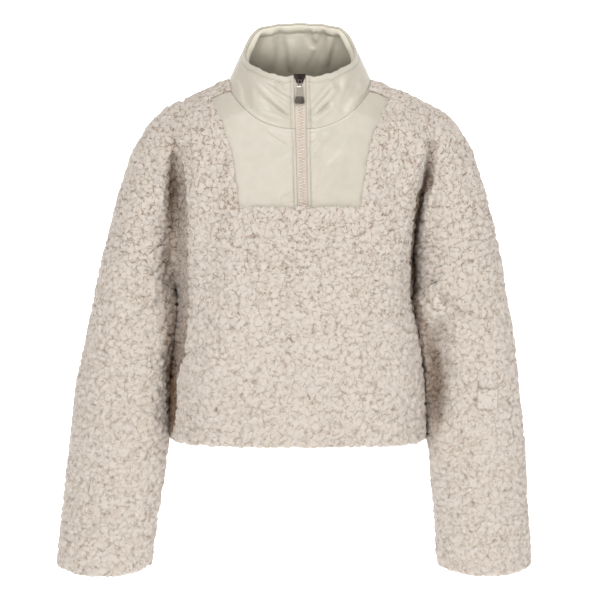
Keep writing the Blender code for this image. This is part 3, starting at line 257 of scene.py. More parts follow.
# Distance to the nearest piece of a path and the place along that piece: for each straight piece,
# the point is dropped onto it, held within its ends, and the nearest piece wins.
def pathDistance(x, z, path):
    nearest = np.full(np.broadcast(x, z).shape, 1e9)
    place = np.zeros(nearest.shape)
    for number in range(len(path) - 1):
        startX, startZ = path[number][:2]
        alongX, alongZ = path[number + 1][0] - startX, path[number + 1][1] - startZ
        t = ((x - startX) * alongX + (z - startZ) * alongZ) / (alongX ** 2 + alongZ ** 2)
        t = np.clip(t, 0, 1)
        away = np.hypot(x - startX - t * alongX, z - startZ - t * alongZ)
        closer = away < nearest
        nearest = np.where(closer, away, nearest)
        place = np.where(closer, number + t, place)
    return nearest, place


# Depth of the folds: each sinks by its depth times exp(-(distance / width) squared), with the
# width and the depth read along its path.
def foldDepth(x, z, face, folds):
    total = np.zeros(np.broadcast(x, z).shape)
    for path in folds.get(face, ()):
        away, place = pathDistance(x, z, path)
        steps = np.arange(len(path))
        width = np.interp(place, steps, [p[2] for p in path])
        depth = np.interp(place, steps, [p[3] for p in path])
        total += depth * softLine(away, width)
    return total


outlinePath = {side: smoothPath(rows, 220) for side, rows in outline.items()}


# Half depth of the body: the trunk is a squared section, the arm a round tube that hugs the
# outline, and the larger counts, rounded where they meet. The rounding closes at the underarm.
def bodyDepth(x, z, side, face):
    x, z = np.abs(x), np.asarray(z, float)
    arm = arms[side]
    away = pathDistance(x, z, outlinePath[side])[0]
    half = readTable(trunk, 0, trunkColumn[side], z)
    deep = readTable(trunk, 0, trunkColumn[face], z)
    square = readTable(trunk, 0, trunkColumn["square"], z)
    closing = np.sqrt(1 - (1 - np.clip(away / body["shoulderRound"], 0, 1)) ** 2)
    section = deep * np.sqrt(1 - np.clip(x / half, 0, 1) ** square) * closing
    tube = arm["depth"] * np.sqrt(np.clip(1 - (1 - away / arm["radius"]) ** 2, 0, None))
    above = np.clip(z - arm["underarm"][1], 0, None)
    tube = np.where(z < arm["underarm"][1], 0, tube)
    blend = np.minimum(4 * np.sqrt(2 * body["underarmRound"] * above), body["creaseBlend"])
    blend = blend * np.clip(away / 50, 0, 1) ** 2 + 1e-6
    raised = np.clip(blend - np.abs(section - tube), 0, None) ** 2 / (4 * blend)
    depth = np.maximum(section, tube) + raised
    return depth - foldDepth(x, z, face, trunkFolds[side]) * np.clip(depth / 45, 0, 1)


# Points on the body at front-view positions, with the signs of their side and face.
def placeOn(x, z, side, face):
    depth = bodyDepth(x, z, side, face)
    return np.stack([sideSign[side] * np.abs(x), faceSign[face] * depth,
                     np.broadcast_to(z, depth.shape)], axis=-1)


# The outline from the neck down to the top of the armhole.
def shoulderPath(side):
    path = outlinePath[side]
    endZ = body["armholeTopZ"][side]
    endX = float(readTable(outline[side], 1, 0, endZ))
    return np.concatenate([path[path[:, 1] > endZ + 1], [(endX, endZ)]])


# Point of the shoulder seam: the outline's point moved forward, less and less towards the armhole.
def seamPoint(side, edge):
    path = shoulderPath(side)
    edge = np.asarray(edge, float)
    ahead = alongPath(path, np.minimum(edge + 0.02, 1))
    behind = alongPath(path, np.maximum(edge - 0.02, 0))
    along = unit(ahead - behind)
    inward = np.stack([along[..., 1], -along[..., 0]], axis=-1)
    return alongPath(path, edge) + inward * (body["seamShift"] * (1 - edge))[..., None]


# Half width of the yoke at a height.
def yokeEdgeX(z):
    return readTable(yokeEdge, 1, 0, z)


# Direction out of a grid of points, from the cross product of its row and column steps.
def gridNormals(grid, ring=False):
    if ring:
        across = np.roll(grid, -1, axis=1) - np.roll(grid, 1, axis=1)
    else:
        across = np.gradient(grid, axis=1)
    down = np.gradient(grid, axis=0)
    return unit(np.cross(across, down), 1e-12)


# Average of each point with its neighbours, repeated, which softens a grid of values.
def soften(values, times, ring=False):
    for _ in range(times):
        sides = (np.roll(values, 1, 1) + np.roll(values, -1, 1)) / 2
        if not ring:
            sides[:, 0], sides[:, -1] = values[:, 0], values[:, -1]
        rows = values.copy()
        rows[1:-1] = (values[2:] + values[:-2]) / 2
        values = values * 0.5 + sides * 0.25 + rows * 0.25
    return values


# Softened unit normals, all turned away from a middle point or the upright middle line.
def outwardNormals(grid, middle=None, ring=False):
    normal = unit(soften(gridNormals(grid, ring), 3, ring), 1e-9)
    middle = grid * (0, 0, 1) if middle is None else middle
    return normal if (normal * (grid - middle)).sum() > 0 else -normal


# Repeatable random number from 0 to 1 for whole-number cells.
def cellRandom(cx, cy, cz, seed):
    mixed = np.sin(cx * 127.1 + cy * 311.7 + cz * 74.7 + seed * 19.19) * 43758.5453
    return mixed - np.floor(mixed)


# Smooth random values from 0 to 1 over space: random corners blended by 3t^2 - 2t^3.
def softNoise(points, size, seed):
    q = points / size
    cell = np.floor(q)
    t = q - cell
    t = t * t * (3 - 2 * t)
    total = np.zeros(points.shape[:-1])
    for corner in range(8):
        dx, dy, dz = corner & 1, corner >> 1 & 1, corner >> 2
        weight = (t[..., 0] if dx else 1 - t[..., 0]) * (t[..., 1] if dy else 1 - t[..., 1])
        weight = weight * (t[..., 2] if dz else 1 - t[..., 2])
        total += weight * cellRandom(cell[..., 0] + dx, cell[..., 1] + dy, cell[..., 2] + dz, seed)
    return total


# Cells scattered in space. Gives the distance to the nearest cell point, how much further the second
# is, how far the place lies along the cell's own random lean, and a random number of the cell.
def cellNoise(points, size, seed):
    q = points / size
    cell = np.floor(q)
    first = np.full(points.shape[:-1], 9.0)
    second, lean, chance = first.copy(), np.zeros(first.shape), np.zeros(first.shape)
    for corner in range(27):
        c = cell + (corner % 3 - 1.0, corner // 3 % 3 - 1.0, corner // 9 - 1.0)
        random = [cellRandom(c[..., 0], c[..., 1], c[..., 2], seed + k) for k in range(6)]
        offset = q - c - np.stack(random[:3], -1)
        away = np.linalg.norm(offset, axis=-1)
        closer = away < first
        second = np.where(closer, first, np.minimum(second, away))
        lean = np.where(closer, ((np.stack(random[3:], -1) - 0.5) * offset).sum(-1), lean)
        chance = np.where(closer, random[3], chance)
        first = np.where(closer, away, first)
    return first * size, (second - first) * size, lean * size, chance


# Soft step from 0 at low to 1 at high: 3t^2 - 2t^3.
def smoothStep(low, high, value):
    t = np.clip((value - low) / (high - low), 0, 1)
    return t * t * (3 - 2 * t)


pile = {"curl": 8.8, "rise": 4.3, "lean": 0.6, "level": 0.4, "warpSize": 9, "warp": 7,
        "crevice": 0.6, "creviceFrom": 0.2, "creviceTo": 2.0, "shutSize": 6.5, "uneven": 0.4,
        "swell": 1.2, "swellSize": 22, "valley": -0.4, "seamReach": 4, "seamDip": 2.4,
        "seamSink": 0.35, "nylonLap": 2.6}


# Height of the curly pile in mm: rounded lumps that each lean their own way, so that some of their
# edges stand over the next one. Also gives how open each place is, 0 between lumps and 1 on one.
def pileHeight(points):
    warp = np.stack([softNoise(points, pile["warpSize"], seed) for seed in (1, 2, 3)], -1)
    bent = points + (warp - 0.5) * pile["warp"]
    near, gap, lean, chance = cellNoise(bent, pile["curl"], 5)
    shut = 0.3 + 0.7 * smoothStep(0.35, 0.6, softNoise(points, pile["shutSize"], 9))
    crevice = (1 - smoothStep(pile["creviceFrom"], pile["creviceTo"], gap)) * shut
    cap = 1 - (near / pile["curl"]) ** 2
    swell = softNoise(points, pile["swellSize"], 4) - 0.5
    height = (pile["level"] + pile["rise"] * (cap - 0.75) + pile["lean"] * lean
              - pile["crevice"] * crevice + pile["uneven"] * (chance - 0.5) + pile["swell"] * swell)
    return height, np.clip(1 - crevice, 0, 1)


# One material node of any kind, with its settings and inputs. An input can be a value or a socket.
def addNode(tree, kind, settings=None, **inputs):
    node = tree.nodes.new(kind)
    for name, value in (settings or {}).items():
        setattr(node, name, value)
    for name, value in inputs.items():
        key = int(name[1:]) if name[0] == "i" and name[1:].isdigit() else name.replace("_", " ")
        socket = node.inputs[key]
        if isinstance(value, bpy.types.NodeSocket):
            tree.links.new(value, socket)
        else:
            socket.default_value = value
    return node


# Linear colour from an sRGB hex one: each channel is ((c + 0.055) / 1.055) ^ 2.4 above the toe.
def hexColour(text):
    channels = [int(text[i:i + 2], 16) / 255 for i in (0, 2, 4)]
    return tuple(((c + 0.055) / 1.055) ** 2.4 if c > 0.04045 else c / 12.92 for c in channels) + (1.0,)


# Noise over the object, at a scale in cells a metre.
def noiseOf(tree, place, scale, detail, **more):
    return addNode(tree, "ShaderNodeTexNoise", None, Vector=place, Scale=scale, Detail=detail,
                   **more).outputs


# Value that the mesh stores at its points.
def attributeOf(tree, name):
    return addNode(tree, "ShaderNodeAttribute", {"attribute_name": name}).outputs["Fac"]


# Value moved from one range to another, and held inside it.
def rangeOf(tree, value, low, high, start, end, kind="LINEAR"):
    return addNode(tree, "ShaderNodeMapRange", {"interpolation_type": kind}, Value=value, From_Min=low,
                   From_Max=high, To_Min=start, To_Max=end).outputs["Result"]


# Colour between two, each a socket or a hex text.
def mixOf(tree, factor, first, second):
    first, second = (hexColour(c) if isinstance(c, str) else c for c in (first, second))
    return addNode(tree, "ShaderNodeMix", {"data_type": "RGBA"}, i0=factor, i6=first, i7=second).outputs[2]


# One sum or product of sockets and numbers.
def mathOf(tree, operation, first, second, third=0.5, clamp=False):
    return addNode(tree, "ShaderNodeMath", {"operation": operation, "use_clamp": clamp}, i0=first,
                   i1=second, i2=third).outputs[0]


# Normal over a height, whose full step is the distance in metres.
def bumpOf(tree, height, strength, distance, **more):
    return addNode(tree, "ShaderNodeBump", None, Height=height, Strength=strength, Distance=distance,
                   **more).outputs["Normal"]


# New material with its tree and shader, and the shader's own inputs set by name.
def startMaterial(name, **inputs):
    material = bpy.data.materials.new(name)
    material.use_nodes = True
    shader = material.node_tree.nodes["Principled BSDF"]
    for key, value in inputs.items():
        shader.inputs[key.replace("_", " ")].default_value = value
    return material, material.node_tree, shader


# Sherpa: polyester knit brushed and tumbled into curls of about 9 mm. The tips are pale, and thin broken
# crevices part the curls: lines along the edges of warped cells, broken by a noise, painted dark as shade.
# Between the lumps a warm brown is painted as shade. The pile's openness and the clefts' painted shade come
# from the mesh.
def sherpaMaterial(name, tint="CAC2BA", curl=0.0092):
    material, tree, shader = startMaterial(
        name, Roughness=0.95, Specular_IOR_Level=0.2, Sheen_Roughness=0.5, Subsurface_Weight=0.12,
        Subsurface_Scale=0.004, Subsurface_Radius=(1.0, 0.72, 0.55))
    place = addNode(tree, "ShaderNodeTexCoord").outputs["Object"]
    # depth here is the painted shade that the mesh stores for the clefts.
    openness, depth = attributeOf(tree, "openness"), attributeOf(tree, "paintedShade")
    bend = noiseOf(tree, place, 150.0, 1.0)["Color"]
    bend = addNode(tree, "ShaderNodeVectorMath", {"operation": "SUBTRACT"}, i0=bend,
                   i1=(0.5, 0.5, 0.5)).outputs[0]
    bend = addNode(tree, "ShaderNodeVectorMath", {"operation": "MULTIPLY_ADD"}, i0=bend,
                   i1=(0.009, 0.009, 0.009), i2=place).outputs[0]
    edge = addNode(tree, "ShaderNodeTexVoronoi", {"feature": "DISTANCE_TO_EDGE"}, Vector=bend,
                   Scale=1 / curl).outputs["Distance"]
    curls = addNode(tree, "ShaderNodeTexVoronoi", {"feature": "SMOOTH_F1"}, Vector=bend, Scale=1 / curl,
                    Smoothness=0.35).outputs["Distance"]
    fibres = noiseOf(tree, place, 1100.0, 4.0, Roughness=0.65, Distortion=0.6)["Fac"]
    # Crevice lines, painted as shade: broken by a noise, stronger in the clefts and towards the top.
    line = rangeOf(tree, edge, 0.012, 0.095, 1.0, 0.0, "SMOOTHSTEP")
    breaks = rangeOf(tree, noiseOf(tree, place, 190.0, 1.0)["Fac"], 0.4, 0.58, 0.04, 0.6)
    breaks = mathOf(tree, "MULTIPLY_ADD", depth, 0.5, breaks)
    height = addNode(tree, "ShaderNodeSeparateXYZ", None, Vector=place).outputs["Z"]
    line = mathOf(tree, "MULTIPLY", line, rangeOf(tree, height, -0.4, -0.08, 0.85, 1.3))
    line = mathOf(tree, "MULTIPLY", line, breaks, clamp=True)
    # Painted shade between the lumps: warm brown where the openness is low.
    colour = mixOf(tree, rangeOf(tree, openness, 0.0, 0.9, 0.2, 0.0), tint, "A48F7C")
    colour = mixOf(tree, rangeOf(tree, fibres, 0.35, 0.75, 0.0, 0.14), colour, "E4DCD3")
    patch = noiseOf(tree, place, 45.0, 2.0)["Fac"]
    colour = mixOf(tree, rangeOf(tree, patch, 0.35, 0.7, 0.0, 0.14), colour, "B3A494")
    # Painted shade: the clefts darken to a deep brown, and the crevice lines to a brown that darkens
    # further in the clefts.
    paintedCreviceShade = mixOf(tree, depth, "82684F", "1E120A")
    colour = mixOf(tree, line, mixOf(tree, depth, colour, "5E3C0C"), paintedCreviceShade)
    # Less sheen where the shade is painted.
    tree.links.new(mathOf(tree, "MULTIPLY_ADD", depth, -0.35, 0.35), shader.inputs["Sheen Weight"])
    normal = addNode(tree, "ShaderNodeBump", {"invert": True}, Height=curls, Strength=0.2,
                     Distance=0.0026).outputs["Normal"]
    normal = addNode(tree, "ShaderNodeBump", {"invert": True}, Height=line, Strength=0.6, Distance=0.001,
                     Normal=normal).outputs["Normal"]
    normal = bumpOf(tree, fibres, 0.3, 0.0005, Normal=normal)
    tree.links.new(colour, shader.inputs["Base Color"])
    tree.links.new(normal, shader.inputs["Normal"])
    return material


# Nylon: plain weave pressed smooth, with a soft sheen. Warp and weft are two waves added up.
def nylonMaterial(name, tint, corner, rough=0.4):
    material, tree, shader = startMaterial(name, Roughness=rough, Sheen_Weight=0.15)
    place = addNode(tree, "ShaderNodeTexCoord").outputs["Object"]
    waves = [addNode(tree, "ShaderNodeTexWave", {"bands_direction": way}, Vector=place, Scale=900.0,
                     Distortion=0.4).outputs["Fac"] for way in "ZX"]
    uneven = noiseOf(tree, place, 60.0, 3.0)["Fac"]
    colour = mixOf(tree, rangeOf(tree, uneven, 0.35, 0.7, 0.0, 1.0), tint, corner)
    # Painted shade from the mesh: darker along stitches and seams, and down inside the lining.
    colour = mixOf(tree, attributeOf(tree, "paintedShade"), colour, "5A5440")
    normal = bumpOf(tree, uneven, 0.12, 0.002)
    normal = bumpOf(tree, mathOf(tree, "ADD", *waves), 0.08, 0.0002, Normal=normal)
    tree.links.new(colour, shader.inputs["Base Color"])
    tree.links.new(normal, shader.inputs["Normal"])
    return material


# One colour and roughness, with a fine uneven grain if asked.
def plainMaterial(name, tint, rough, metal=0.0, sheen=0.0, grain=0.0, size=900.0):
    material, tree, shader = startMaterial(name, Base_Color=hexColour(tint), Roughness=rough,
                                           Metallic=metal, Sheen_Weight=sheen)
    if grain:
        place = addNode(tree, "ShaderNodeTexCoord").outputs["Object"]
        normal = bumpOf(tree, noiseOf(tree, place, size, 3.0)["Fac"], grain, 0.0004)
        tree.links.new(normal, shader.inputs["Normal"])
    return material


materials = {
    "sherpa": sherpaMaterial("cream polyester sherpa, tumbled into curls"),
    "nylon": nylonMaterial("bone nylon plain weave, pressed", "C3BCB0", "BDB8AB"),
    # The lining is the same nylon, with its tint made lighter as painted light inside the collar.
    "lining": nylonMaterial("bone nylon plain weave, inside the collar", "DFD9CA", "D3CEBE", 0.55),
    "tape": plainMaterial("woven polyester zip tape", "CABFB4", 0.85, grain=0.8, size=1100.0),
    "teeth": plainMaterial("moulded acetal zip teeth", "E0D6CB", 0.45),
    "gunmetal": plainMaterial("gunmetal plated zinc", "3A3433", 0.22, metal=0.9, grain=1.0,
                              size=420.0),
    "pull": plainMaterial("satin plated zinc, worn lighter", "9A9289", 0.38, metal=0.8),
    "grip": plainMaterial("dark lacquered zinc", "4C4540", 0.4, metal=0.5, grain=0.8, size=1000.0),
    "bright": plainMaterial("polished zinc", "E4E0DC", 0.32, metal=1.0),
    "thread": plainMaterial("spun polyester thread", "B4AE9C", 0.8, sheen=0.3),
}


# Mesh from points in mm and faces of any length, given as one flat list of corners and the face
# sizes. Turned outward when its signed volume, the sum of a . (b x c) / 6, is negative.
def addMesh(name, points, corners, sizes, material, values=None):
    starts = np.concatenate(([0], np.cumsum(sizes)[:-1]))
    first, second, third = (points[corners[starts + k]] for k in range(3))
    volume = np.einsum("ij,ij->i", first, np.cross(second, third)).sum()
    quads = sizes == 4
    last = points[corners[starts[quads] + 3]]
    volume += np.einsum("ij,ij->i", first[quads], np.cross(third[quads], last)).sum()
    if volume < 0:
        ends = np.repeat(starts + sizes - 1, sizes)
        corners = corners[ends - (np.arange(len(corners)) - np.repeat(starts, sizes))]
    mesh = bpy.data.meshes.new(name)
    mesh.vertices.add(len(points))
    mesh.vertices.foreach_set("co", (points * mm).ravel())
    mesh.loops.add(len(corners))
    mesh.loops.foreach_set("vertex_index", corners)
    mesh.polygons.add(len(sizes))
    mesh.polygons.foreach_set("loop_start", starts)
    mesh.polygons.foreach_set("use_smooth", np.ones(len(sizes), bool))
    mesh.update(calc_edges=True)
    mesh.validate()
    for key, data in (values or {}).items():
        attribute = mesh.attributes.new(key, "FLOAT", "POINT")
        attribute.data.foreach_set("value", data.astype(np.float32))
    mesh.materials.append(material)
    item = bpy.data.objects.new(name, mesh)
    bpy.context.scene.collection.objects.link(item)
    return item


# Closed cloth: a fine outer grid, an inner grid with every second point, and rims between them.
# Blocks of two by two outer faces share one inner face. Extra outer rows roll under the last edge.
def clothMesh(name, outer, inner, present, material, values, ring=False):
    rows, columns = outer.shape[:2]
    blockRows = len(present)
    outerIndex = np.arange(rows * columns).reshape(rows, columns)
    innerCount = inner.shape[0] * inner.shape[1]
    innerIndex = np.arange(innerCount).reshape(inner.shape[:2]) + rows * columns
    if ring:
        outerIndex = np.concatenate([outerIndex, outerIndex[:, :1]], axis=1)
        innerIndex = np.concatenate([innerIndex, innerIndex[:, :1]], axis=1)
    rollEnd = rows - 1
    shown = np.repeat(np.repeat(present, 2, axis=0), 2, axis=1)
    extra = rollEnd - blockRows * 2
    shown = np.concatenate([shown] + [shown[-1:]] * extra) if extra else shown
    r, c = np.nonzero(shown)
    quads = np.stack([outerIndex[r, c], outerIndex[r, c + 1],
                      outerIndex[r + 1, c + 1], outerIndex[r + 1, c]], 1)
    i, j = np.nonzero(present)
    backs = np.stack([innerIndex[i, j], innerIndex[i + 1, j],
                      innerIndex[i + 1, j + 1], innerIndex[i, j + 1]], 1)
    padded = np.pad(present, 1)
    if ring:
        padded[:, 0], padded[:, -1] = padded[:, -2], padded[:, 1]
    rims = []
    for beyond, outerSteps, innerSteps in (
            (padded[:-2, 1:-1], ((0, 2), (0, 1), (0, 0)), ((0, 0), (0, 1))),
            (padded[2:, 1:-1], ((2, 0), (2, 1), (2, 2)), ((1, 1), (1, 0))),
            (padded[1:-1, :-2], ((0, 0), (1, 0), (2, 0)), ((1, 0), (0, 0))),
            (padded[1:-1, 2:], ((2, 2), (1, 2), (0, 2)), ((0, 1), (1, 1)))):
        i, j = np.nonzero(present & ~beyond)
        below = outerSteps[0] == (2, 0)
        outerRows = [np.where(i == blockRows - 1, rollEnd, 2 * i + 2) if below else 2 * i + a
                     for a, _ in outerSteps]
        rims.append(np.stack([outerIndex[r, 2 * j + b] for r, (_, b) in zip(outerRows, outerSteps)]
                             + [innerIndex[i + a, j + b] for a, b in innerSteps], 1))
    rims = np.concatenate(rims)
    corners = [quads.ravel(), backs.ravel(), rims.ravel()]
    sizes = [np.full(len(quads), 4), np.full(len(backs), 4), np.full(len(rims), 5)]
    if extra and not ring:
        here = np.nonzero(present[-1])[0]
        for column, turn in ((here[0] * 2, 1), (here[-1] * 2 + 2, -1)):
            cap = np.concatenate([outerIndex[blockRows * 2:, column], [innerIndex[-1, column // 2]]])
            corners.append(cap[::turn])
            sizes.append(np.array([len(cap)]))
    corners = np.concatenate(corners)
    points = np.concatenate([outer.reshape(-1, 3), inner.reshape(-1, 3)])
    used = np.zeros(len(points), bool)
    used[corners] = True
    renumber = np.cumsum(used) - 1
    # Every value is 0.35 on the inner points, which paints shade on the inside of the cloth.
    innerValue = 0.35
    data = {key: np.concatenate([value.ravel(), np.full(innerCount, innerValue)])[used]
            for key, value in values.items()}
    return addMesh(name, points[used], renumber[corners], np.concatenate(sizes), material, data)


rollRows = 6  # rows in which an edge turns under


# Shell between a displaced grid and the smooth grid a wall's thickness inside it. The last edge
# turns under in a half circle. Returns the outer points and every second inner one.
def rolledShell(grid, normal, heights, wall, roll, rollHeights=None):
    outer = grid + normal * heights[..., None]
    inner = (grid - normal * wall)[::2, ::2]
    onward = unit(grid[-1] - grid[-3], 1e-9)
    turns = np.linspace(0, math.pi, rollRows + 1)[1:]
    ways = np.array([normal[-1] * math.cos(a) + onward * math.sin(a) for a in turns])
    base = grid[-1] - normal[-1] * roll + ways * roll
    if rollHeights is not None:
        base = base + ways * rollHeights(base)[..., None]
    return np.concatenate([outer, base]), inner


# Pile on a smooth grid. near is the distance in mm to the closest sewn edge, where the valleys are
# filled up and the pile dips a little. lap moves the edge's pile sideways, more where it is high.
def growPile(grid, normal, near, paintedShade, lap=None):
    height, openness = pileHeight(grid)
    free = smoothStep(0, pile["seamReach"], near)
    height = height + (np.maximum(height, pile["valley"]) - height) * (1 - free)
    atSeam = 1 - smoothStep(0, pile["seamDip"], near)
    height = height * (0.75 + 0.25 * free) - pile["seamSink"] * atSeam
    lapped = grid if lap is None else grid + lap * np.maximum(0.75 + 0.3 * height, 0.6)[..., None]

    def rollPile(points):
        return pileHeight(points)[0] * np.linspace(0.9, 0.35, len(points))[:, None]

    outer, inner = rolledShell(grid, normal, height, body["wall"], (body["wall"] + 2.4) / 2, rollPile)
    outer[:len(grid)] += lapped - grid
    rollOpen = pileHeight(outer[len(grid):])[1]
    values = {"openness": np.concatenate([openness, rollOpen]),
              "paintedShade": np.concatenate([paintedShade, np.broadcast_to(paintedShade[-1], rollOpen.shape)])}
    return outer, inner, values


# Straight rows in the front view between two columns of points, crowded at the end if asked.
def straightRows(startX, startZ, endX, endZ, count, crowd=False):
    t = np.linspace(0, 1, count)
    t = np.sin(t * math.pi / 2) if crowd else t
    return startX[:, None] + (endX - startX)[:, None] * t, startZ[:, None] + (endZ - startZ)[:, None] * t


# Rows over the arm from the crease outward: straight higher up, and towards the armhole they take
# the seam's shape, as its table gives it.
def armRowsOut(side, creaseX, creaseZ, outer, edge):
    t = np.sin(np.linspace(0, math.pi / 2, 90))
    shape = 1 - readTable(armhole[side], 0, 1, 1 - t)
    rise = t + (shape - t) * edge[:, None] ** 4
    return (creaseX[:, None] + (outer[:, 0] - creaseX)[:, None] * t,
            creaseZ[:, None] + (outer[:, 1] - creaseZ)[:, None] * rise)


# Sizes of every fine row of a panel: no end of a row moves further than the others by more than
# the mean step, and one row can be held at the yoke's lower edge. Then even rows down to the hem.
def rowSizes(side, table, upper, lower, held=0):
    underZ = arms[side]["underarm"][1]
    rows = [r for r in table if r[1] > underZ + body["armRowsFrom"]]
    rows += [(underZ + a + body["innerRise"], underZ + a, e) for a, e in armRows]
    dense = np.linspace(rows[0][1], underZ, 3000)
    innerZ, edge = readTable(rows, 1, 0, dense), readTable(rows, 1, 2, dense)
    steps = np.maximum.reduce([-np.diff(dense), -np.diff(innerZ), np.diff(edge) * body["seamLength"] * 0.8])
    passed = np.concatenate(([0], np.cumsum(steps)))
    split = np.interp(-wingRows[-1][1], -dense, passed) if held else 0
    at = np.concatenate([np.linspace(0, split, held + 1),
                         np.linspace(split, passed[-1], upper - held + 1)[1:]])
    creaseZ = np.interp(at, passed, dense)
    innerZ = readTable(rows, 1, 0, creaseZ)
    edge = readTable(rows, 1, 2, creaseZ)
    edge[-1] = 1
    lowZ = np.linspace(underZ, body["hemZ"], lower + 1)[1:]
    return creaseZ, innerZ, edge, lowZ


# The inner ends of the lower rows start 14 mm high, as the upper rows end, and level out downward.
def innerRise(lowZ):
    left = (lowZ - lowZ[-1]) / (lowZ[0] - lowZ[-1])
    return body["innerRise"] * left ** 2


# z, edge of the painted shade on the trunk, its reach on the arm and its strength, then the darkest
# painted line and its strength
paintedClefts = {
    "right": ((-50, 166, 8, 0, 176, 0), (-85, 163, 14, 0.12, 175, 0.15),
              (-110, 159, 20, 0.32, 174.5, 0.3), (-135, 155.5, 28, 0.5, 174, 0.5),
              (-162, 154, 31, 0.48, 174, 0.38), (-196, 153, 35, 0.38, 177, 0.25),
              (-229, 152, 38, 0.35, 183, 0.2), (-256, 152, 40, 0.31, 184, 0.15),
              (-310, 152.5, 38, 0.41, 182, 0.05), (-350, 157, 31, 0.57, 180, 0.1),
              (-378, 161, 26, 0.62, 178, 0.2), (-394, 168, 21, 0.72, 178, 0.5),
              (-418, 169.5, 16, 0.8, 178, 0.6), (-458, 172, 10, 0.8, 179, 0.5),
              (-478, 176, 7, 0.7, 180, 0.3), (-490, 180, 5, 0, 182, 0)),
    "left": ((-60, 176, 8, 0, 182, 0), (-105, 172, 14, 0.2, 179, 0.2), (-130, 168, 15, 0.5, 174, 0.35),
             (-151, 160, 13, 0.6, 168, 0.3), (-189, 155, 10, 0.6, 161, 0.3),
             (-232, 151, 9, 0.64, 156, 0.3), (-256, 151.5, 12, 0.7, 157, 0.35),
             (-280, 152, 11, 0.5, 157, 0.2), (-297, 153.5, 12, 0.45, 158, 0.2),
             (-350, 164, 24, 0.4, 176, 0.15), (-378, 168, 30, 0.5, 188, 0.25),
             (-418, 172.5, 30, 0.52, 190, 0.3), (-450, 173.5, 26, 0.45, 184, 0.1),
             (-478, 175, 20, 0.3, 182, 0), (-520, 178, 12, 0, 182, 0)),
}


# Painted shade of the clefts between trunk and arm, from 0 to 1: an even part with a crisp edge on the
# trunk and a soft one on the arm, and a darker painted line along the deepest place.
def cleftShade(grid, side):
    edge, reach, strength, line, lineStrength = (readTable(paintedClefts[side], 0, k, grid[..., 2])
                                                 for k in range(1, 6))
    x = np.abs(grid[..., 0])
    even = smoothStep(-1.2, 1.0, x - edge) * (1 - smoothStep(0.72, 1.2, (x - edge) / reach))
    deepest = softLine(x - line, 6.0)
    inside = smoothStep(0, 30, 128 - np.abs(grid[..., 1]))
    dark = strength * even
    return np.clip(dark + lineStrength * deepest * (1 - dark), 0, 0.97) * inside


# The painted cleft shade of a panel that spans both sides.
def bothPaintedClefts(grid):
    return np.where(grid[..., 0] > 0, cleftShade(grid, "left"), cleftShade(grid, "right"))


# Numbers of fine cells: across the arm, the trunk and the middle, above and below the underarm, and
# down to the yoke's lower edge.
front = {"arm": 50, "trunk": 84, "centre": 78, "upper": 136, "lower": 98, "notch": 68}
back = {"arm": 56, "trunk": 104, "upper": 164, "lower": 94}
sleeve = {"around": 196, "down": 216, "square": 2.2, "seamFade": 0.2, "cuffTilt": 9.0}


# Trunk and arm columns of a half panel in even cells, with its rows below the underarm, which run
# from an inner width to the side seam. There the arm columns lie on the seam and aren't shown.
def addLowerRows(side, face, sizes, trunkGrid, armGrid, innerX, lowZ, count):
    half = readTable(trunk, 0, trunkColumn[side], lowZ)
    lowX, lowRowZ = straightRows(np.full(len(lowZ), innerX), lowZ + innerRise(lowZ), half, lowZ, count,
                                 crowd=True)
    lowTrunk = evenRows(placeOn(lowX, lowRowZ, side, face), sizes["trunk"])
    lowArm = np.repeat(lowTrunk[:, -1:], sizes["arm"] + 1, axis=1)
    return (np.concatenate([evenRows(trunkGrid, sizes["trunk"]), lowTrunk]),
            np.concatenate([evenRows(armGrid, sizes["arm"]), lowArm]))


# Grid of one half of the front, as its trunk and arm columns. The rows near the neck bend over
# into the shoulder seam, and the lower ones run level to the side seam.
def halfFront(side):
    creaseZ, innerZ, edge, lowZ = rowSizes(side, wingRows, front["upper"], front["lower"], front["notch"])
    creaseX = readTable(creaseLine, 0, sideColumn[side], creaseZ)
    innerX = yokeEdgeX(np.maximum(innerZ, body["yokeBottomZ"]))
    seam = seamPoint(side, edge)
    trunkX, trunkZ = straightRows(innerX, innerZ, creaseX, creaseZ, 110)
    armX, armZ = armRowsOut(side, creaseX, creaseZ, seam, edge)
    blend = smoothStep(0, 1, (creaseZ[0] - creaseZ) / 37)[:, None]
    trunkTop = seamPoint(side, np.linspace(0.1, 0.22, 110))
    armTop = seamPoint(side, np.linspace(0.22, 0.34, 90))
    trunkX, trunkZ = (trunkTop[None, :, c] * (1 - blend) + row * blend
                      for c, row in enumerate((trunkX, trunkZ)))
    armX, armZ = (armTop[None, :, c] * (1 - blend) + row * blend for c, row in enumerate((armX, armZ)))
    trunkGrid, armGrid = placeOn(trunkX, trunkZ, side, "front"), placeOn(armX, armZ, side, "front")
    return addLowerRows(side, "front", front, trunkGrid, armGrid, float(yokeEdgeX(body["yokeBottomZ"])),
                        lowZ, 150)


# Distance in mm of each grid point from the edges, given as lists of (axis, index, start, end).
def edgeDistance(grid, edges):
    near = np.full(grid.shape[:2], 50.0)
    for axis, index, start, end in edges:
        line = grid[index, start:end] if axis == 0 else grid[start:end, index]
        line = line[::4]
        low, high = line.min(axis=0) - 8, line.max(axis=0) + 8
        close = np.all((grid > low) & (grid < high), axis=-1)
        spots = grid[close]
        best = np.full(len(spots), 50.0)
        for first, second in zip(line[:-1], line[1:]):
            along = second - first
            t = np.clip(((spots - first) @ along) / (along @ along + 1e-9), 0, 1)
            best = np.minimum(best, np.linalg.norm(spots - first - t[:, None] * along, axis=1))
        near[close] = np.minimum(near[close], best)
    return near


# Blocks of two by two cells that a panel has: below the underarm its arm columns are left out.
def presentBlocks(sizes, columns):
    present = np.ones(((sizes["upper"] + sizes["lower"]) // 2, columns // 2), bool)
    arm = sizes["arm"] // 2
    present[sizes["upper"] // 2:, :arm] = False
    present[sizes["upper"] // 2:, -arm:] = False
    return present


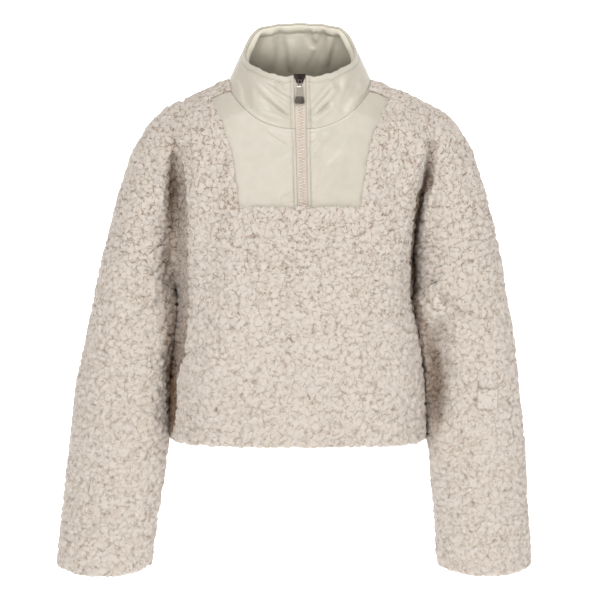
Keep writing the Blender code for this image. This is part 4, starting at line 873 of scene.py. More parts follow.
# Front panel: both halves and the strip below the yoke between them. Its pile dips at the sewn
# edges and laps a little over the nylon, by lap * exp(-(distance to the yoke / 3.5) squared).
def buildFront():
    halves = {side: halfFront(side) for side in ("right", "left")}
    starts = halves["right"][0][:, :1]
    ends = halves["left"][0][:, :1]
    t = np.linspace(0, 1, front["centre"] + 1)[None, 1:-1]
    x = starts[..., 0] + (ends[..., 0] - starts[..., 0]) * t
    z = starts[..., 2] + (ends[..., 2] - starts[..., 2]) * t
    centre = np.where((x > 0)[..., None], placeOn(x, z, "left", "front"), placeOn(x, z, "right", "front"))
    centre[..., 0] = x
    grid = np.concatenate([halves["right"][1][:, :0:-1], halves["right"][0][:, ::-1], centre,
                           halves["left"][0], halves["left"][1][:, 1:]], axis=1)
    columns = grid.shape[1] - 1
    notch, upper, arm = front["notch"], front["upper"], front["arm"]
    inside = arm + front["trunk"]
    present = presentBlocks(front, columns)
    present[:notch // 2, inside // 2:-(inside // 2)] = False
    normal = outwardNormals(grid)
    near = edgeDistance(grid, [(0, 0, 0, inside + 1), (0, 0, columns - inside, columns + 1),
                               (1, 0, 0, upper + 1), (1, columns, 0, upper + 1),
                               (0, upper, 0, arm + 1), (0, upper, columns - arm, columns + 1),
                               (1, arm, upper, len(grid)), (1, columns - arm, upper, len(grid))])
    yoke = edgeDistance(grid, [(1, inside, 0, notch + 1), (1, columns - inside, 0, notch + 1),
                               (0, notch, inside, columns - inside + 1)])
    paintedShade = bothPaintedClefts(grid)
    lap = np.zeros(grid.shape)
    reach = pile["nylonLap"] * softLine(yoke, 3.5)
    beside = np.abs(grid[..., 0]) > yokeEdgeX(np.maximum(grid[..., 2], body["yokeBottomZ"])) - 0.5
    lap[..., 0] = np.where(beside, -np.sign(grid[..., 0]) * reach, 0)
    lap[..., 2] = np.where(grid[..., 2] < body["yokeBottomZ"] + 3, reach, 0)
    outer, inner, values = growPile(grid, normal, near, paintedShade, lap)
    piece = clothMesh("sherpaFront", outer, inner, present, materials["sherpa"], values)
    return piece, flatSize(grid, present)


# Grid of one half of the back, from its middle out to the armhole, wrapped forward to the seam.
def halfBack(side):
    creaseZ, innerZ, edge, lowZ = rowSizes(side, backRows, back["upper"], back["lower"])
    edge[0] = 0
    creaseX = readTable(creaseLine, 0, sideColumn[side], creaseZ)
    path = shoulderPath(side)
    outer = alongPath(path, edge)
    limit = outer[:, 0] * 0.8
    early = creaseX > limit
    rowCreaseX = np.where(early, limit, creaseX)
    rowCreaseZ = np.where(early, innerZ + (outer[:, 1] - innerZ) * 0.6, creaseZ)
    seam = seamPoint(side, edge)
    trunkX, trunkZ = straightRows(np.zeros(len(edge)), innerZ, rowCreaseX, rowCreaseZ, 150)
    armX, armZ = armRowsOut(side, rowCreaseX, rowCreaseZ, outer, edge)
    wrapX, wrapZ = straightRows(seam[:, 0], seam[:, 1], outer[:, 0], outer[:, 1], 50, crowd=True)
    wrap = placeOn(wrapX, wrapZ, side, "front")[:, ::-1][:, 1:]
    armGrid = np.concatenate([placeOn(armX, armZ, side, "back"), wrap], axis=1)
    return addLowerRows(side, "back", back, placeOn(trunkX, trunkZ, side, "back"), armGrid, 0.0, lowZ, 190)


# Neck seam at a turn from the zip (0) over the shoulder (0.5) to the middle of the back (1).
def neckLine(turns, side, sink):
    cornerTurn = 0.42
    corner = seamPoint(side, np.array(0.0))
    topX, topZ = outline[side][0]
    frontPath = smoothPath(neckFront + (tuple(corner),), 80)
    points = []
    for turn in turns:
        if turn < cornerTurn:
            x, z = alongPath(frontPath, turn / cornerTurn)
            face = "front"
        elif turn < 0.5:
            t = math.sin((turn - cornerTurn) / (0.5 - cornerTurn) * math.pi / 2)
            x, z = corner + (np.array((topX, topZ)) - corner) * t
            face = "front"
        else:
            x = topX * math.cos((turn - 0.5) * math.pi)
            z = -6.0 + (topZ + 6.0) * (x / topX) ** 1.6
            face = "back"
        points.append((x, z, 1.0 if face == "front" else -1.0))
    points = np.array(points)
    out = np.zeros((len(points), 3))
    for face, sign in (("front", 1.0), ("back", -1.0)):
        chosen = points[:, 2] == sign
        if chosen.any():
            out[chosen] = sunk(points[chosen, 0], points[chosen, 1], side, face, sink)
    return out


# Points of the body sunk along its normal, which comes from the slope of the squared depth.
def sunk(x, z, side, face, sink):
    x, z = np.abs(x), np.asarray(z, float)
    depth = bodyDepth(x, z, side, face)
    slopeX = depth ** 2 - bodyDepth(x - 1, z, side, face) ** 2
    slopeZ = depth ** 2 - bodyDepth(x, z - 1, side, face) ** 2
    normal = unit(np.stack([-slopeX, 2 * depth, -slopeZ], axis=-1))
    points = np.stack([x, depth, np.broadcast_to(z, depth.shape)], axis=-1) - normal * sink
    return points * (sideSign[side], faceSign[face], 1)


# Back panel: both halves, with the top rows moved onto the neck seam, less and less over 16 rows.
def buildBack():
    halves = {side: halfBack(side) for side in ("right", "left")}
    grid = np.concatenate([halves["right"][1][:, :0:-1], halves["right"][0][:, :0:-1],
                           halves["left"][0], halves["left"][1][:, 1:]], axis=1)
    turns = np.linspace(1.0, 0.42, 200)
    upper, arm = back["upper"], back["arm"]
    middle = arm + back["trunk"]
    for side, part in (("right", slice(middle, None, -1)), ("left", slice(middle, None))):
        neck = evenRows(neckLine(turns, side, 0.0)[None], middle)[0]
        offset = neck - grid[0, part]
        fade = (1 - smoothStep(0, 16, np.arange(len(grid))))[:, None, None]
        grid[:, part] = grid[:, part] + offset[None] * fade
    columns = grid.shape[1] - 1
    present = presentBlocks(back, columns)
    normal = outwardNormals(grid)
    near = edgeDistance(grid, [(0, 0, 0, columns + 1), (1, 0, 0, upper + 1), (1, columns, 0, upper + 1),
                               (0, upper, 0, arm + 1), (0, upper, columns - arm, columns + 1),
                               (1, arm, upper, len(grid)), (1, columns - arm, upper, len(grid))])
    paintedShade = bothPaintedClefts(grid)
    neck = edgeDistance(grid, [(0, 0, 0, columns + 1)])
    up = unit(grid[0] - grid[3])
    lap = up[None] * (pile["nylonLap"] * softLine(neck, 4))[..., None]
    outer, inner, values = growPile(grid, normal, near, paintedShade, lap)
    piece = clothMesh("sherpaBack", outer, inner, present, materials["sherpa"], values)
    return piece, flatSize(grid, present)


# z, right, left
sleeveInner = ((-280, 174, 155.8), (-300, 169.8, 154.8), (-325, 170.2, 159.8), (-350, 173.2, 164.4),
               (-385, 177.6, 170.6), (-420, 179.8, 174.0), (-455, 181.8, 176.0), (-486, 183.5, 178.0),
               (-515, 187.0, 181.5), (-540, 190.0, 183.5), (-590, 198, 188), (-640, 205, 191),
               (-680, 209, 193))
# z, how much squarer the section is where the sleeve rests against the trunk, right and left
sleeveSquare = ((-290, 0, 0), (-305, 2.2, 1.2), (-345, 2.4, 2.0), (-372, 0.8, 2.2), (-395, 0.2, 2.2),
                (-450, 0, 1.6), (-490, 0, 0))
# down, front, back, middle
sleeveDepth = ((0.0, 60, 58, 0), (0.25, 60, 60, -1), (0.5, 58, 60, -6), (0.75, 56, 57, -13),
               (1.0, 54, 54, -20))


# Sleeve surface: down runs from the armhole to the cuff, turn from the outside over the front. Its
# section is a slightly squared ellipse, and near the armhole it takes the body's own shape.
def sleevePoints(side, down, turn):
    down, turn = np.broadcast_arrays(np.asarray(down, float), np.asarray(turn, float))
    facing = np.sin(turn) >= 0
    topZ, cuffZ = body["armholeTopZ"][side], body["cuffZ"][side]
    underX, underZ = arms[side]["underarm"]
    outerZ = topZ + (cuffZ - topZ) * down
    innerZ = underZ + (cuffZ - underZ) * down
    outerX = readTable(outline[side], 1, 0, outerZ)
    innerX = readTable(sleeveInner, 0, sideColumn[side], innerZ)
    innerX = np.where(down < 1e-6, underX, innerX)
    along = (1 - np.cos(turn)) / 2
    x = outerX + (innerX - outerX) * along
    resting = readTable(sleeveSquare, 0, sideColumn[side], innerZ) * smoothStep(0.5, 0.95, along)
    square = sleeve["square"] + resting
    roundPart = np.abs(np.sin(turn)) ** (2 / square)
    deep = np.where(facing, readTable(sleeveDepth, 0, 1, down),
                    readTable(sleeveDepth, 0, 2, down)) * roundPart
    fade = np.clip(1 - down / sleeve["seamFade"], 0, 1) ** 2
    topX = float(readTable(outline[side], 1, 0, topZ))
    seamX = topX + (underX - topX) * along[0]
    seamZ = topZ + (underZ - topZ) * readTable(armhole[side], 0, 1, along[0])
    seamDeep = np.where(facing[0], bodyDepth(seamX, seamZ, side, "front"),
                        bodyDepth(seamX, seamZ, side, "back"))
    firstDeep = np.where(facing, 60, 58) * roundPart
    deep = deep + (seamDeep[None] - firstDeep) * fade
    z = outerZ + (innerZ - outerZ) * along
    z = z + (seamZ[None] - (topZ + (underZ - topZ) * along)) * fade
    z = z - sleeve["cuffTilt"] * np.sin(turn) * roundPart * np.clip(down, 0, 1) ** 3
    folds = np.where(facing, foldDepth(x, z, "front", sleeveFolds[side]),
                     foldDepth(x, z, "back", sleeveFolds[side]))
    deep = deep - folds * np.clip(deep / 30, 0, 1)
    y = readTable(sleeveDepth, 0, 3, down) + np.where(facing, -deep, deep)
    return np.stack([sideSign[side] * x, y, z], axis=-1)


# Sleeve: a tube with even columns round it, whose pile laps up over the armhole seam.
def buildSleeve(side):
    down = np.linspace(0, 1, sleeve["down"] + 1)
    dense = np.linspace(0, 2 * math.pi, 721)
    wide = sleevePoints(side, np.array((0.0, 0.5))[:, None], dense[None])[1]
    lengths = runLengths(wide)
    turn = np.interp(np.linspace(0, lengths[-1], sleeve["around"] + 1)[:-1], lengths, dense)
    grid = sleevePoints(side, down[:, None], turn[None])
    normal = outwardNormals(grid, grid.mean(axis=1, keepdims=True), ring=True)
    near = np.linalg.norm(grid - grid[:1], axis=-1)
    present = np.ones((sleeve["down"] // 2, sleeve["around"] // 2), bool)
    paintedShade = cleftShade(grid, side)
    up = unit(grid[0] - grid[3])
    lap = up[None] * (1.3 * pile["nylonLap"] * softLine(near, 5))[..., None]
    outer, inner, values = growPile(grid, normal, near, paintedShade, lap)
    piece = clothMesh("sherpaSleeve" + side.title(), outer, inner, present, materials["sherpa"], values,
                      True)
    return piece, flatSize(grid, present, True)


neckRim = ((0.0, 0, -71, 14), (0.1, 22, -70, 13), (0.2, 44, -63, 18.5), (0.31, 64, -48, 28),
           (0.41, 77, -26, 38), (0.5, 78.5, -4, 50), (0.6, 74, 18, 65), (0.73, 60.5, 36, 83.5),
           (0.87, 31, 47, 91), (1.0, 0, 50, 93))
zipper = {"top": (-0.5, 14.0), "bottom": (4.0, -166.0), "half": 7.2, "topHalf": 8.0, 
       "pitch": 1.9, "tooth": 5.2, "toothRadius": 0.66, "toothOffset": 1.5, "toothSink": 2.2,
          "tapeOuter": 13.5, "tapeSink": 2.9, "tape": 1.0, "stitchIn": 4.6}
collar = {"across": 252, "rows": 54, "wall": 3.3, "roll": 2.65, "lining": 1.6, "inset": 3.7,
          "rimStitch": 6.5, "band": 11.0, "pad": 1.1, "rise": 0.972}
# Creases of the collar and yoke: troughs have a positive depth, ridges a negative one.
collarFolds = {
    "front": (
        ((-80, 38, 4, 0.5), (-77, 10, 5, 2.2), (-72, -20, 5, 1.2), (-68, -36, 5, 0)),
        ((-88, 24, 4, 0), (-82, 11, 4, 1.3), (-75, -2, 4, 0.2)),
        ((-69, 14, 4, 0), (-46, -12, 4, -1.4), (-18, -36, 4, -1.0)),
        ((-60, 10, 3.5, 0), (-38, -6, 3.5, -1.2), (-15, -20, 3.5, -0.8)),
        ((-54, -13, 3.5, 0), (-36, -28, 3.5, 1.1), (-17, -42, 3.5, 0.6)),
        ((-61, -33, 4, 0), (-40, -41, 4, -1.1), (-18, -47, 4, -0.7)),
        ((-30, 14, 5, 0), (-28, -4, 5, 0.9), (-18, -10, 4, 0.4)),
        ((18, -38, 4, -1.0), (38, -18, 4, -1.4), (54, 3, 4, 0)),
        ((18, -48, 4, -0.8), (34, -38, 4, -1.2), (50, -27, 4, 0)),
        ((20, -23, 3.5, 0.6), (32, -8, 3.5, 1.1), (43, 4, 3.5, 0)),
        ((20, -44, 3, 0.5), (34, -30, 3, 0.9), (46, -14, 3, 0)),
        ((80, 30, 6, 0), (72, -2, 6, 1.7), (58, -30, 6, 0.5)),
        ((93, 6, 5, 0), (84, -10, 5, -1.1), (72, -24, 5, 0)),
        ((58, 22, 6, 0), (52, 4, 6, 0.9), (56, -12, 5, 0)),
    ),
    "back": (
        ((-58, 60, 6, 0), (-52, 30, 6, 1.6), (-60, 2, 6, 0.6)),
        ((-22, 70, 7, 0), (-28, 40, 7, 1.1), (-20, 8, 6, 0.7)),
        ((14, 74, 6, 0), (10, 46, 6, -1.0), (18, 14, 6, 0)),
        ((40, 60, 6, 0), (48, 34, 6, 1.5), (42, 4, 6, 0.5)),
        ((66, 44, 5, 0), (70, 22, 5, 1.2), (78, 4, 5, 0)),
    ),
}
liningFolds = {
    "front": (
        ((-62, 26, 5, 0), (-52, 10, 5, 1.2), (-40, -8, 5, 0)),
        ((60, 26, 5, 0), (52, 8, 5, 1.2), (42, -10, 5, 0)),
    ),
    "back": (
        ((-60, 76, 5, 0.5), (-58, 40, 5, 2.2), (-54, 10, 6, 1)),
        ((-44, 84, 5, -0.5), (-42, 54, 5, -1.8), (-40, 26, 5, 0)),
        ((-30, 86, 4, 0.4), (-26, 54, 5, 2.2), (-22, 24, 6, 1)),
        ((-14, 70, 5, 0), (-12, 44, 5, -1.8), (-14, 22, 5, 0)),
        ((12, 88, 3, 0.6), (13, 72, 3, 2.2), (18, 62, 3, 2.4), (24, 60, 3, 1.6), (30, 68, 3, 0.4)),
        ((33, 82, 4, 0.3), (30, 56, 5, 2.4), (16, 26, 6, 1.2)),
        ((46, 80, 4, -0.4), (42, 56, 4, -1.6), (36, 30, 4, 0)),
        ((58, 76, 4, 0.4), (52, 50, 5, 2.0), (46, 24, 5, 0.8)),
    ),
}
yokeFolds = {
    "front": (
        ((-47, -61, 4, 0), (-30, -69, 4, -1.0), (-16, -75, 4, -0.7)),
        ((-52, -60, 3.5, 0), (-32, -74, 3.5, 1.0), (-15, -88, 3.5, 0.6)),
        ((-34, -112, 4, 0), (-25, -106, 4, -0.8), (-16, -100, 4, -0.5)),
        ((-31, -152, 4, 0), (-22, -145, 4, -0.9), (-12, -138, 4, -0.6)),
        ((-27, -143, 3.5, 0), (-20, -152, 3.5, 0.7), (-13, -161, 3.5, 0.4)),
        ((-88, -60, 9, 0), (-66, -90, 10, 1.0), (-50, -130, 9, 0)),
        ((-70, -150, 8, 0), (-50, -156, 8, -0.8), (-30, -164, 8, 0)),
        ((18, -73, 3.5, -0.7), (32, -71, 3.5, -1.0), (45, -69, 3.5, 0)),
        ((18, -78, 3, 0.6), (24, -72, 3, 0.9), (31, -66, 3, 0)),
        ((20, -92, 3, -0.5), (24, -85, 3, -0.8), (27, -79, 3, 0)),
        ((60, -60, 8, 0), (42, -84, 8, 1.0), (24, -110, 7, 0.4)),
        ((43, -100, 6, 0), (32, -118, 6, -0.9), (22, -136, 5, -0.4)),
        ((84, -70, 9, 0), (74, -110, 9, 0.9), (70, -150, 9, 0)),
    ),
}


# Middle of the zip at a height: straight between its two ends.
def zipX(z):
    return np.interp(z, (zipper["bottom"][1], zipper["top"][1]), (zipper["bottom"][0], zipper["top"][0]))


# Half of the gap between the placket's edges, a little wider in the collar.
def zipHalf(z):
    return np.interp(z, (neckFront[0][1], zipper["top"][1]), (zipper["half"], zipper["topHalf"]))


# Rows of the collar from its base to its rim, round from one placket edge to the other: straight
# lines from the neck seam to the rim, moved inward by the inset.
def collarSurface(rows, columns, inset, behind, lift):
    turns = np.linspace(0, 1, 161)
    base = neckLine(turns, "left", body["nylonSink"])
    top = np.column_stack([readTable(neckRim, 0, c, turns) for c in (1, 2, 3)])
    rise = np.linspace(0, collar["rise"], rows + 1)[:, None, None]
    along = unit(np.gradient(base, axis=0))
    up = unit((top - base) - along * ((top - base) * along).sum(-1, keepdims=True))
    wave = 0.9 * np.sin(turns * 52) + 0.7 * np.sin(turns * 117 + 1.3) * np.sin(turns * 9)
    wave = (wave * (1 - 0.6 * turns))[None, :, None]
    half = base + (top - base) * rise + up * lift * (1 - rise) + up * wave * rise ** 9
    normal = np.cross(np.gradient(half, axis=1), np.gradient(half, axis=0))
    normal[:, (0, -1)] *= (0, 1, 1)
    half = half - unit(normal) * inset
    whole = np.concatenate([half * (-1, 1, 1), half[:, ::-1][:, 1:]], axis=1)
    grid = []
    for row in whole:
        z = float(row[0, 2])
        near = np.arange(40.0)
        start = np.interp(zipHalf(z) + behind - zipX(z), -row[:40, 0], near)
        end = np.interp(zipHalf(z) + behind + zipX(z), row[-40:, 0][::-1], near[::-1]) + len(row) - 40
        at = np.linspace(start, end, columns + 1)
        grid.append(readPoints(at, np.arange(len(row)), row))
    return np.array(grid)


# Sum of the creases at points of the nylon, read in the front view on the face they lie on.
def creaseHeight(grid, folds, deepest):
    forward = smoothStep(-4, 4, -grid[..., 1])
    depth = foldDepth(grid[..., 0], grid[..., 2], "front", folds) * forward
    depth = depth + foldDepth(grid[..., 0], grid[..., 2], "back", folds) * (1 - forward)
    depth = depth * body["creaseScale"]
    return -deepest * np.tanh(depth / deepest)


# Small puckers beside a line of stitches: a wave along it whose height fades with the distance.
def puckers(along, away, pitch, height, reach):
    wave = np.sin(along * 2 * math.pi / pitch + 2.2 * np.sin(along / 9.0) + 1.3 * np.sin(along / 23.0))
    strength = 0.55 + 0.45 * np.sin(along / 13.0 + 1.0)
    return height * wave * strength * np.exp(-np.abs(away) / reach)


# Piece of nylon or tape, whole to its edges, with shade painted where the shade says.
def nylonPiece(name, outer, inner, material, shade=None):
    present = np.ones((inner.shape[0] - 1, inner.shape[1] - 1), bool)
    shade = np.zeros(outer.shape[:2]) if shade is None else shade
    return clothMesh(name, outer, inner, present, material, {"paintedShade": shade})


# The collar's outer side bulges between the neck seam and the stitches below its rim, by
# pad * sin(pi * rise), and the rim rolls over to the inside.
def buildCollar():
    grid = collarSurface(collar["rows"], collar["across"], 0.0, 0.0, 0.0)
    normal = outwardNormals(grid)
    around = runLengths(grid[-1])[None]
    fromRim = np.linalg.norm(grid - grid[-1:], axis=-1)
    fromBase = np.linalg.norm(grid - grid[:1], axis=-1)
    fromZip = np.minimum(around, around[:, -1:] - around)
    rise = fromBase / (fromBase + fromRim)
    forward = np.clip(-grid[..., 1] / 40, 0, 1)
    height = collar["pad"] * np.sin(math.pi * np.clip(rise * 1.1, 0, 1)) * smoothStep(0, 14, fromZip)
    height += creaseHeight(grid, collarFolds, 3.0) * smoothStep(1, 9, fromBase) * smoothStep(2, 10, fromRim)
    rimLine = fromRim - collar["rimStitch"]
    height -= 0.55 * softLine(rimLine, 1.3)
    height += puckers(around + grid[..., 2] * 0.3, rimLine, 7.0, 0.42, 3.6)
    placket = fromZip - zipper["stitchIn"]
    height -= 0.4 * softLine(placket, 0.9) * forward
    height += puckers(grid[..., 2], placket, 6.0, 0.3, 5.0) * forward * smoothStep(0, 3, fromZip)
    height -= 0.45 * softLine(fromBase, 1.6)
    height += puckers(around, fromBase, 8.0, 0.35, 4.0)
    height -= 1.2 * softLine(fromZip, 0.9)
    outer, inner = rolledShell(grid, normal, height, collar["wall"], collar["roll"])
    # Painted shade along the placket's stitches, below the rim's stitches and at the neck seam.
    shade = (0.42 * softLine(placket, 0.8) * forward + 0.25 * softLine(rimLine, 0.9)
             + 0.12 * softLine(fromBase, 0.8))
    shade = np.concatenate([shade, np.zeros((rollRows, shade.shape[1]))])
    piece = nylonPiece("nylonCollar", outer, inner, materials["nylon"], shade)
    return piece, grid, outer, normal


# The collar's lining: a padded band under the rim, puckered along its stitches, with deep creases.
# Painted shade darkens it down to its base, by a soft step over the way down, and along the band's
# stitches.
def buildLining():
    grid = collarSurface(collar["rows"], 200, collar["inset"] + 0.05, 8.0, 0.9)
    normal = outwardNormals(grid)
    inward = -normal
    face = grid + inward * collar["lining"]
    fromRim = np.linalg.norm(grid - grid[-1:], axis=-1)
    fromBase = np.linalg.norm(grid - grid[:1], axis=-1)
    around = runLengths(grid[-1])[None]
    height = 0.4 + creaseHeight(grid, liningFolds, 3.6) * smoothStep(0, 12, fromRim)
    rimLine = fromRim - collar["band"]
    height += 1.2 * np.sin(math.pi * np.clip(fromRim / 60, 0, 1)) - 0.9 * softLine(rimLine, 1.4)
    sides = smoothStep(40, 74, np.abs(grid[..., 0]))
    height += (2.2 + 4.0 * sides) * np.sin(math.pi * np.clip(fromRim / collar["band"], 0, 1)) ** 0.7
    height += puckers(around, rimLine, 8.0, 0.7, 5.5)
    height = np.maximum(height, -1.0) * smoothStep(-1, 5, fromBase)
    outer = face + inward * height[..., None]
    inner = grid[::2, ::2]
    shade = 0.85 * smoothStep(0.2, 0.8, fromRim / (fromRim + fromBase)) + 0.2 * softLine(rimLine, 1.0)
    return nylonPiece("nylonCollarLining", outer, inner, materials["lining"], shade), grid


# Half of the yoke: rows from the neck seam down to its straight lower edge, which take the neck's
# bend less and less, by (1 - down) ^ 2.2.
def yokeSurface(side, rows, columns):
    sign = sideSign[side]
    neck = smoothPath(neckFront + (tuple(seamPoint(side, np.array(0.0))),), 80)
    outerPoints = [seamPoint(side, np.array(e)) for e in (0.0, 0.012, 0.05, 0.1)]
    outerPoints += [np.array((float(yokeEdgeX(z)), z)) for z in (-48, -82, -112, -138, -163.5, -166)]
    outerPoints = np.array(outerPoints)
    steps = np.linspace(0, 1, len(outerPoints))
    grid = []
    for v in np.linspace(0, 1, rows + 1):
        outerX, outerZ = (float(np.interp(v, steps, outerPoints[:, c])) for c in (0, 1))
        innerZ = neckFront[0][1] + (body["yokeBottomZ"] - neckFront[0][1]) * v ** 1.1
        innerX = zipper["half"] + sign * float(zipX(innerZ))
        t = np.linspace(0, 1, columns * 2)
        x = innerX + (outerX - innerX) * t
        z = innerZ + (outerZ - innerZ) * t
        start = np.interp(innerX, neck[:, 0], np.linspace(0, 1, len(neck)))
        bend = alongPath(neck, start + (1 - start) * t)
        straight = bend[0, 1] + (bend[-1, 1] - bend[0, 1]) * (bend[:, 0] - bend[0, 0]) / np.ptp(bend[:, 0])
        z = z + np.interp(x, bend[:, 0], bend[:, 1] - straight) * (1 - v) ** 2.2
        grid.append(sunk(x, z, side, "front", body["nylonSink"]))
    return evenRows(np.array(grid), columns)


# Half of the yoke with its creases, the sunk stitch line beside the zip and the puckers along it.
def buildYoke(side):
    grid = yokeSurface(side, 96, 72)
    normal = outwardNormals(grid)
    fromZip = np.linalg.norm(grid - grid[:, :1], axis=-1)
    fromNeck = np.linalg.norm(grid - grid[:1], axis=-1)
    fromEdge = np.linalg.norm(grid - grid[:, -1:], axis=-1)
    fromFoot = np.linalg.norm(grid - grid[-1:], axis=-1)
    calm = smoothStep(1, 8, fromNeck) * smoothStep(0, 8, fromEdge) * smoothStep(0, 8, fromFoot)
    height = creaseHeight(grid, yokeFolds, 0.9) * calm
    placket = fromZip - zipper["stitchIn"]
    height -= 0.4 * softLine(placket, 0.9)
    height += puckers(grid[..., 2], placket, 6.0, 0.32, 6.0) * smoothStep(0, 3, fromZip)
    height -= 0.45 * softLine(fromNeck, 1.6)
    height += puckers(np.abs(grid[..., 0]), fromNeck, 8.0, 0.3, 4.0) * smoothStep(0, 3, fromNeck)
    height -= 0.8 * softLine(fromZip, 0.8)
    height += 0.5 * (softNoise(grid, 38, 21) - 0.5) * calm
    outer = grid + normal * height[..., None]
    inner = (grid - normal * 2.0)[::2, ::2]
    # Painted shade along the stitches beside the zip and at the neck seam.
    shade = 0.42 * softLine(placket, 0.8) + 0.12 * softLine(fromNeck, 0.8)
    piece = nylonPiece("nylonYoke" + side.title(), outer, inner, materials["nylon"], shade)
    return piece, grid, outer, normal


# Point near the zip at a height: across from its middle, and sunk below the nylon's outer side.
def zipLine(z, across, sink):
    z, across = np.broadcast_arrays(np.asarray(z, float), np.asarray(across, float))
    seam = neckLine([0.0], "left", body["nylonSink"])[0]
    top = np.array(neckRim[0][1:], float)
    slopeUp = (top[1] - seam[1]) / (top[2] - seam[2])
    lowZ = np.minimum(z, seam[2])
    lowY = -(bodyDepth(0 * lowZ, lowZ, "left", "front") - body["nylonSink"])
    below = -(bodyDepth(0 * lowZ, lowZ - 2, "left", "front") - body["nylonSink"])
    above = z > seam[2]
    y = np.where(above, seam[1] + (z - seam[2]) * slopeUp, lowY)
    slope = np.where(above, slopeUp, (lowY - below) / 2)
    cosine = 1 / np.hypot(1, slope)
    return np.stack([zipX(z) + across, y + sink * cosine, z - sink * slope * cosine], -1)


# Closed mesh of many copies of one small closed shape, each with its own middle and three axes.
def scatterMesh(name, shape, faces, middles, axes, material):
    points = middles[:, None] + np.einsum("vk,nkj->nvj", shape, axes)
    flat = np.array([corner for face in faces for corner in face])
    corners = (flat[None] + (np.arange(len(middles)) * len(shape))[:, None]).ravel()
    sizes = np.tile([len(face) for face in faces], len(middles))
    return addMesh(name, points.reshape(-1, 3), corners, sizes, material)


# Rounded bar along its first axis: rings of points whose size follows a half circle at each end.
def capsule(length, radius, flat=0.7, sides=8):
    along, size = [], []
    for a in (10, 45, 90):
        along.append(-length / 2 + radius - radius * math.cos(math.radians(a)))
        size.append(radius * math.sin(math.radians(a)))
    along = np.array(along + [-a for a in along[::-1]])
    size = np.array(size + size[::-1])
    turn = np.arange(sides) * 2 * math.pi / sides
    points = np.stack([np.repeat(along[:, None], sides, 1), size[:, None] * np.cos(turn),
                       size[:, None] * np.sin(turn) * flat], -1).reshape(-1, 3)
    return points, ringFaces(len(along), sides)


# Faces between rings of points, with a cap at each end.
def ringFaces(rings, sides):
    faces = []
    for ring in range(rings - 1):
        for k in range(sides):
            here, beside = ring * sides + k, ring * sides + (k + 1) % sides
            faces.append((here, beside, beside + sides, here + sides))
    faces.append(tuple(range(sides))[::-1])
    faces.append(tuple(range((rings - 1) * sides, rings * sides)))
    return faces


# The pull's grip and bright bar: the foot of the tab, the way it hangs up from there, and sizes.
pull = {"foot": (-0.4, -79.0, -21.3), "up": (0.014, 0.216, 0.976), "half": (6.2, 4.9), "thick": 2.5,
        "edge": 0.5, "below": 3.2, "taper": 0.13, "bar": 20.0, "barLength": 8.8, "barRadius": 0.95}


# Rounded block around the foot of the pull: |x|^5 + |z|^5 = 1 with its rims drawn in.
def buildPull():
    up = unit(np.array(pull["up"]))
    across = unit(np.cross((0, 1.0, 0), up))
    axes = np.stack([across, np.cross(up, across), up])
    sides = 40
    turn = np.arange(sides) * 2 * math.pi / sides
    flat = np.stack([np.sign(v) * np.abs(v) ** 0.4 for v in (np.cos(turn), np.sin(turn))], -1)
    flat *= pull["half"]
    flat[:, 0] *= 1 - pull["taper"] * flat[:, 1] / pull["half"][1]
    half, edge = pull["thick"] / 2, pull["edge"]
    levels = ((-half, edge), (-half + edge * 0.3, edge * 0.3), (-half + edge, 0), (half - edge, 0),
              (half - edge * 0.3, edge * 0.3), (half, edge))
    rings = [np.stack([flat[:, 0] * (1 - e / pull["half"][0]), np.full(sides, y),
                       flat[:, 1] * (1 - e / pull["half"][1])], -1) for y, e in levels]
    foot = np.array(pull["foot"])
    points = np.concatenate(rings) @ axes + foot + up * (pull["half"][1] - pull["below"])
    faces = ringFaces(len(levels), sides)
    corners, sizes = np.concatenate([np.array(f) for f in faces]), np.array([len(f) for f in faces])
    grip = addMesh("pullGrip", points, corners, sizes, materials["grip"])
    shape, faces = capsule(pull["barLength"], pull["barRadius"], flat=1.0, sides=12)
    barMiddle = foot + up * pull["bar"]
    bar = scatterMesh("pullBar", shape, faces, barMiddle[None], axes[None], materials["bright"])
    return grip, bar


stitch = {"pitch": 3.0, "length": 0.72, "radius": 0.32, "lift": 0.1}


# Places and axes of the stitches along lines of points: one a pitch, lifted off the cloth's face.
def placeStitches(lines):
    middles, axes = [], []
    for line, out in lines:
        lengths = runLengths(line)
        at = np.arange(stitch["pitch"] / 2, lengths[-1], stitch["pitch"])
        middle = readPoints(at, lengths, line)
        way = unit(readPoints(at + 0.5, lengths, line) - middle, 1e-9)
        normal = readPoints(at, lengths, out)
        side = unit(np.cross(normal, way), 1e-9)
        middles.append(middle + normal * stitch["lift"])
        axes.append(np.stack([way, side, np.cross(way, side)], 1))
    return np.concatenate(middles), np.concatenate(axes)


# Topstitching: one line below the collar's rim and one on each side of the zip.
def buildStitches(collarGrid, collarOuter, collarNormal, yokes):
    rows = len(collarGrid)
    fromRim = np.linalg.norm(collarGrid - collarGrid[-1:], axis=-1)
    row = int(np.argmin(np.abs(fromRim[:, rows] - collar["rimStitch"])))
    lines = [(collarOuter[row, 4:-4], collarNormal[row, 4:-4])]
    for end in (0, -1):
        across = np.linalg.norm(collarGrid - collarGrid[:, end:][:, :1], axis=-1)
        column = int(np.argmin(np.abs(across[rows // 2] - zipper["stitchIn"])))
        lines.append((collarOuter[2:rows - 5, column], collarNormal[2:rows - 5, column]))
    for grid, outer, normal in yokes:
        across = np.linalg.norm(grid - grid[:, :1], axis=-1)
        column = int(np.argmin(np.abs(across[len(grid) // 2] - zipper["stitchIn"])))
        lines.append((outer[2:-1, column], normal[2:-1, column]))
    shape, faces = capsule(stitch["pitch"] * stitch["length"], stitch["radius"])
    middles, axes = placeStitches(lines)
    return scatterMesh("topstitching", shape, faces, middles, axes, materials["thread"])


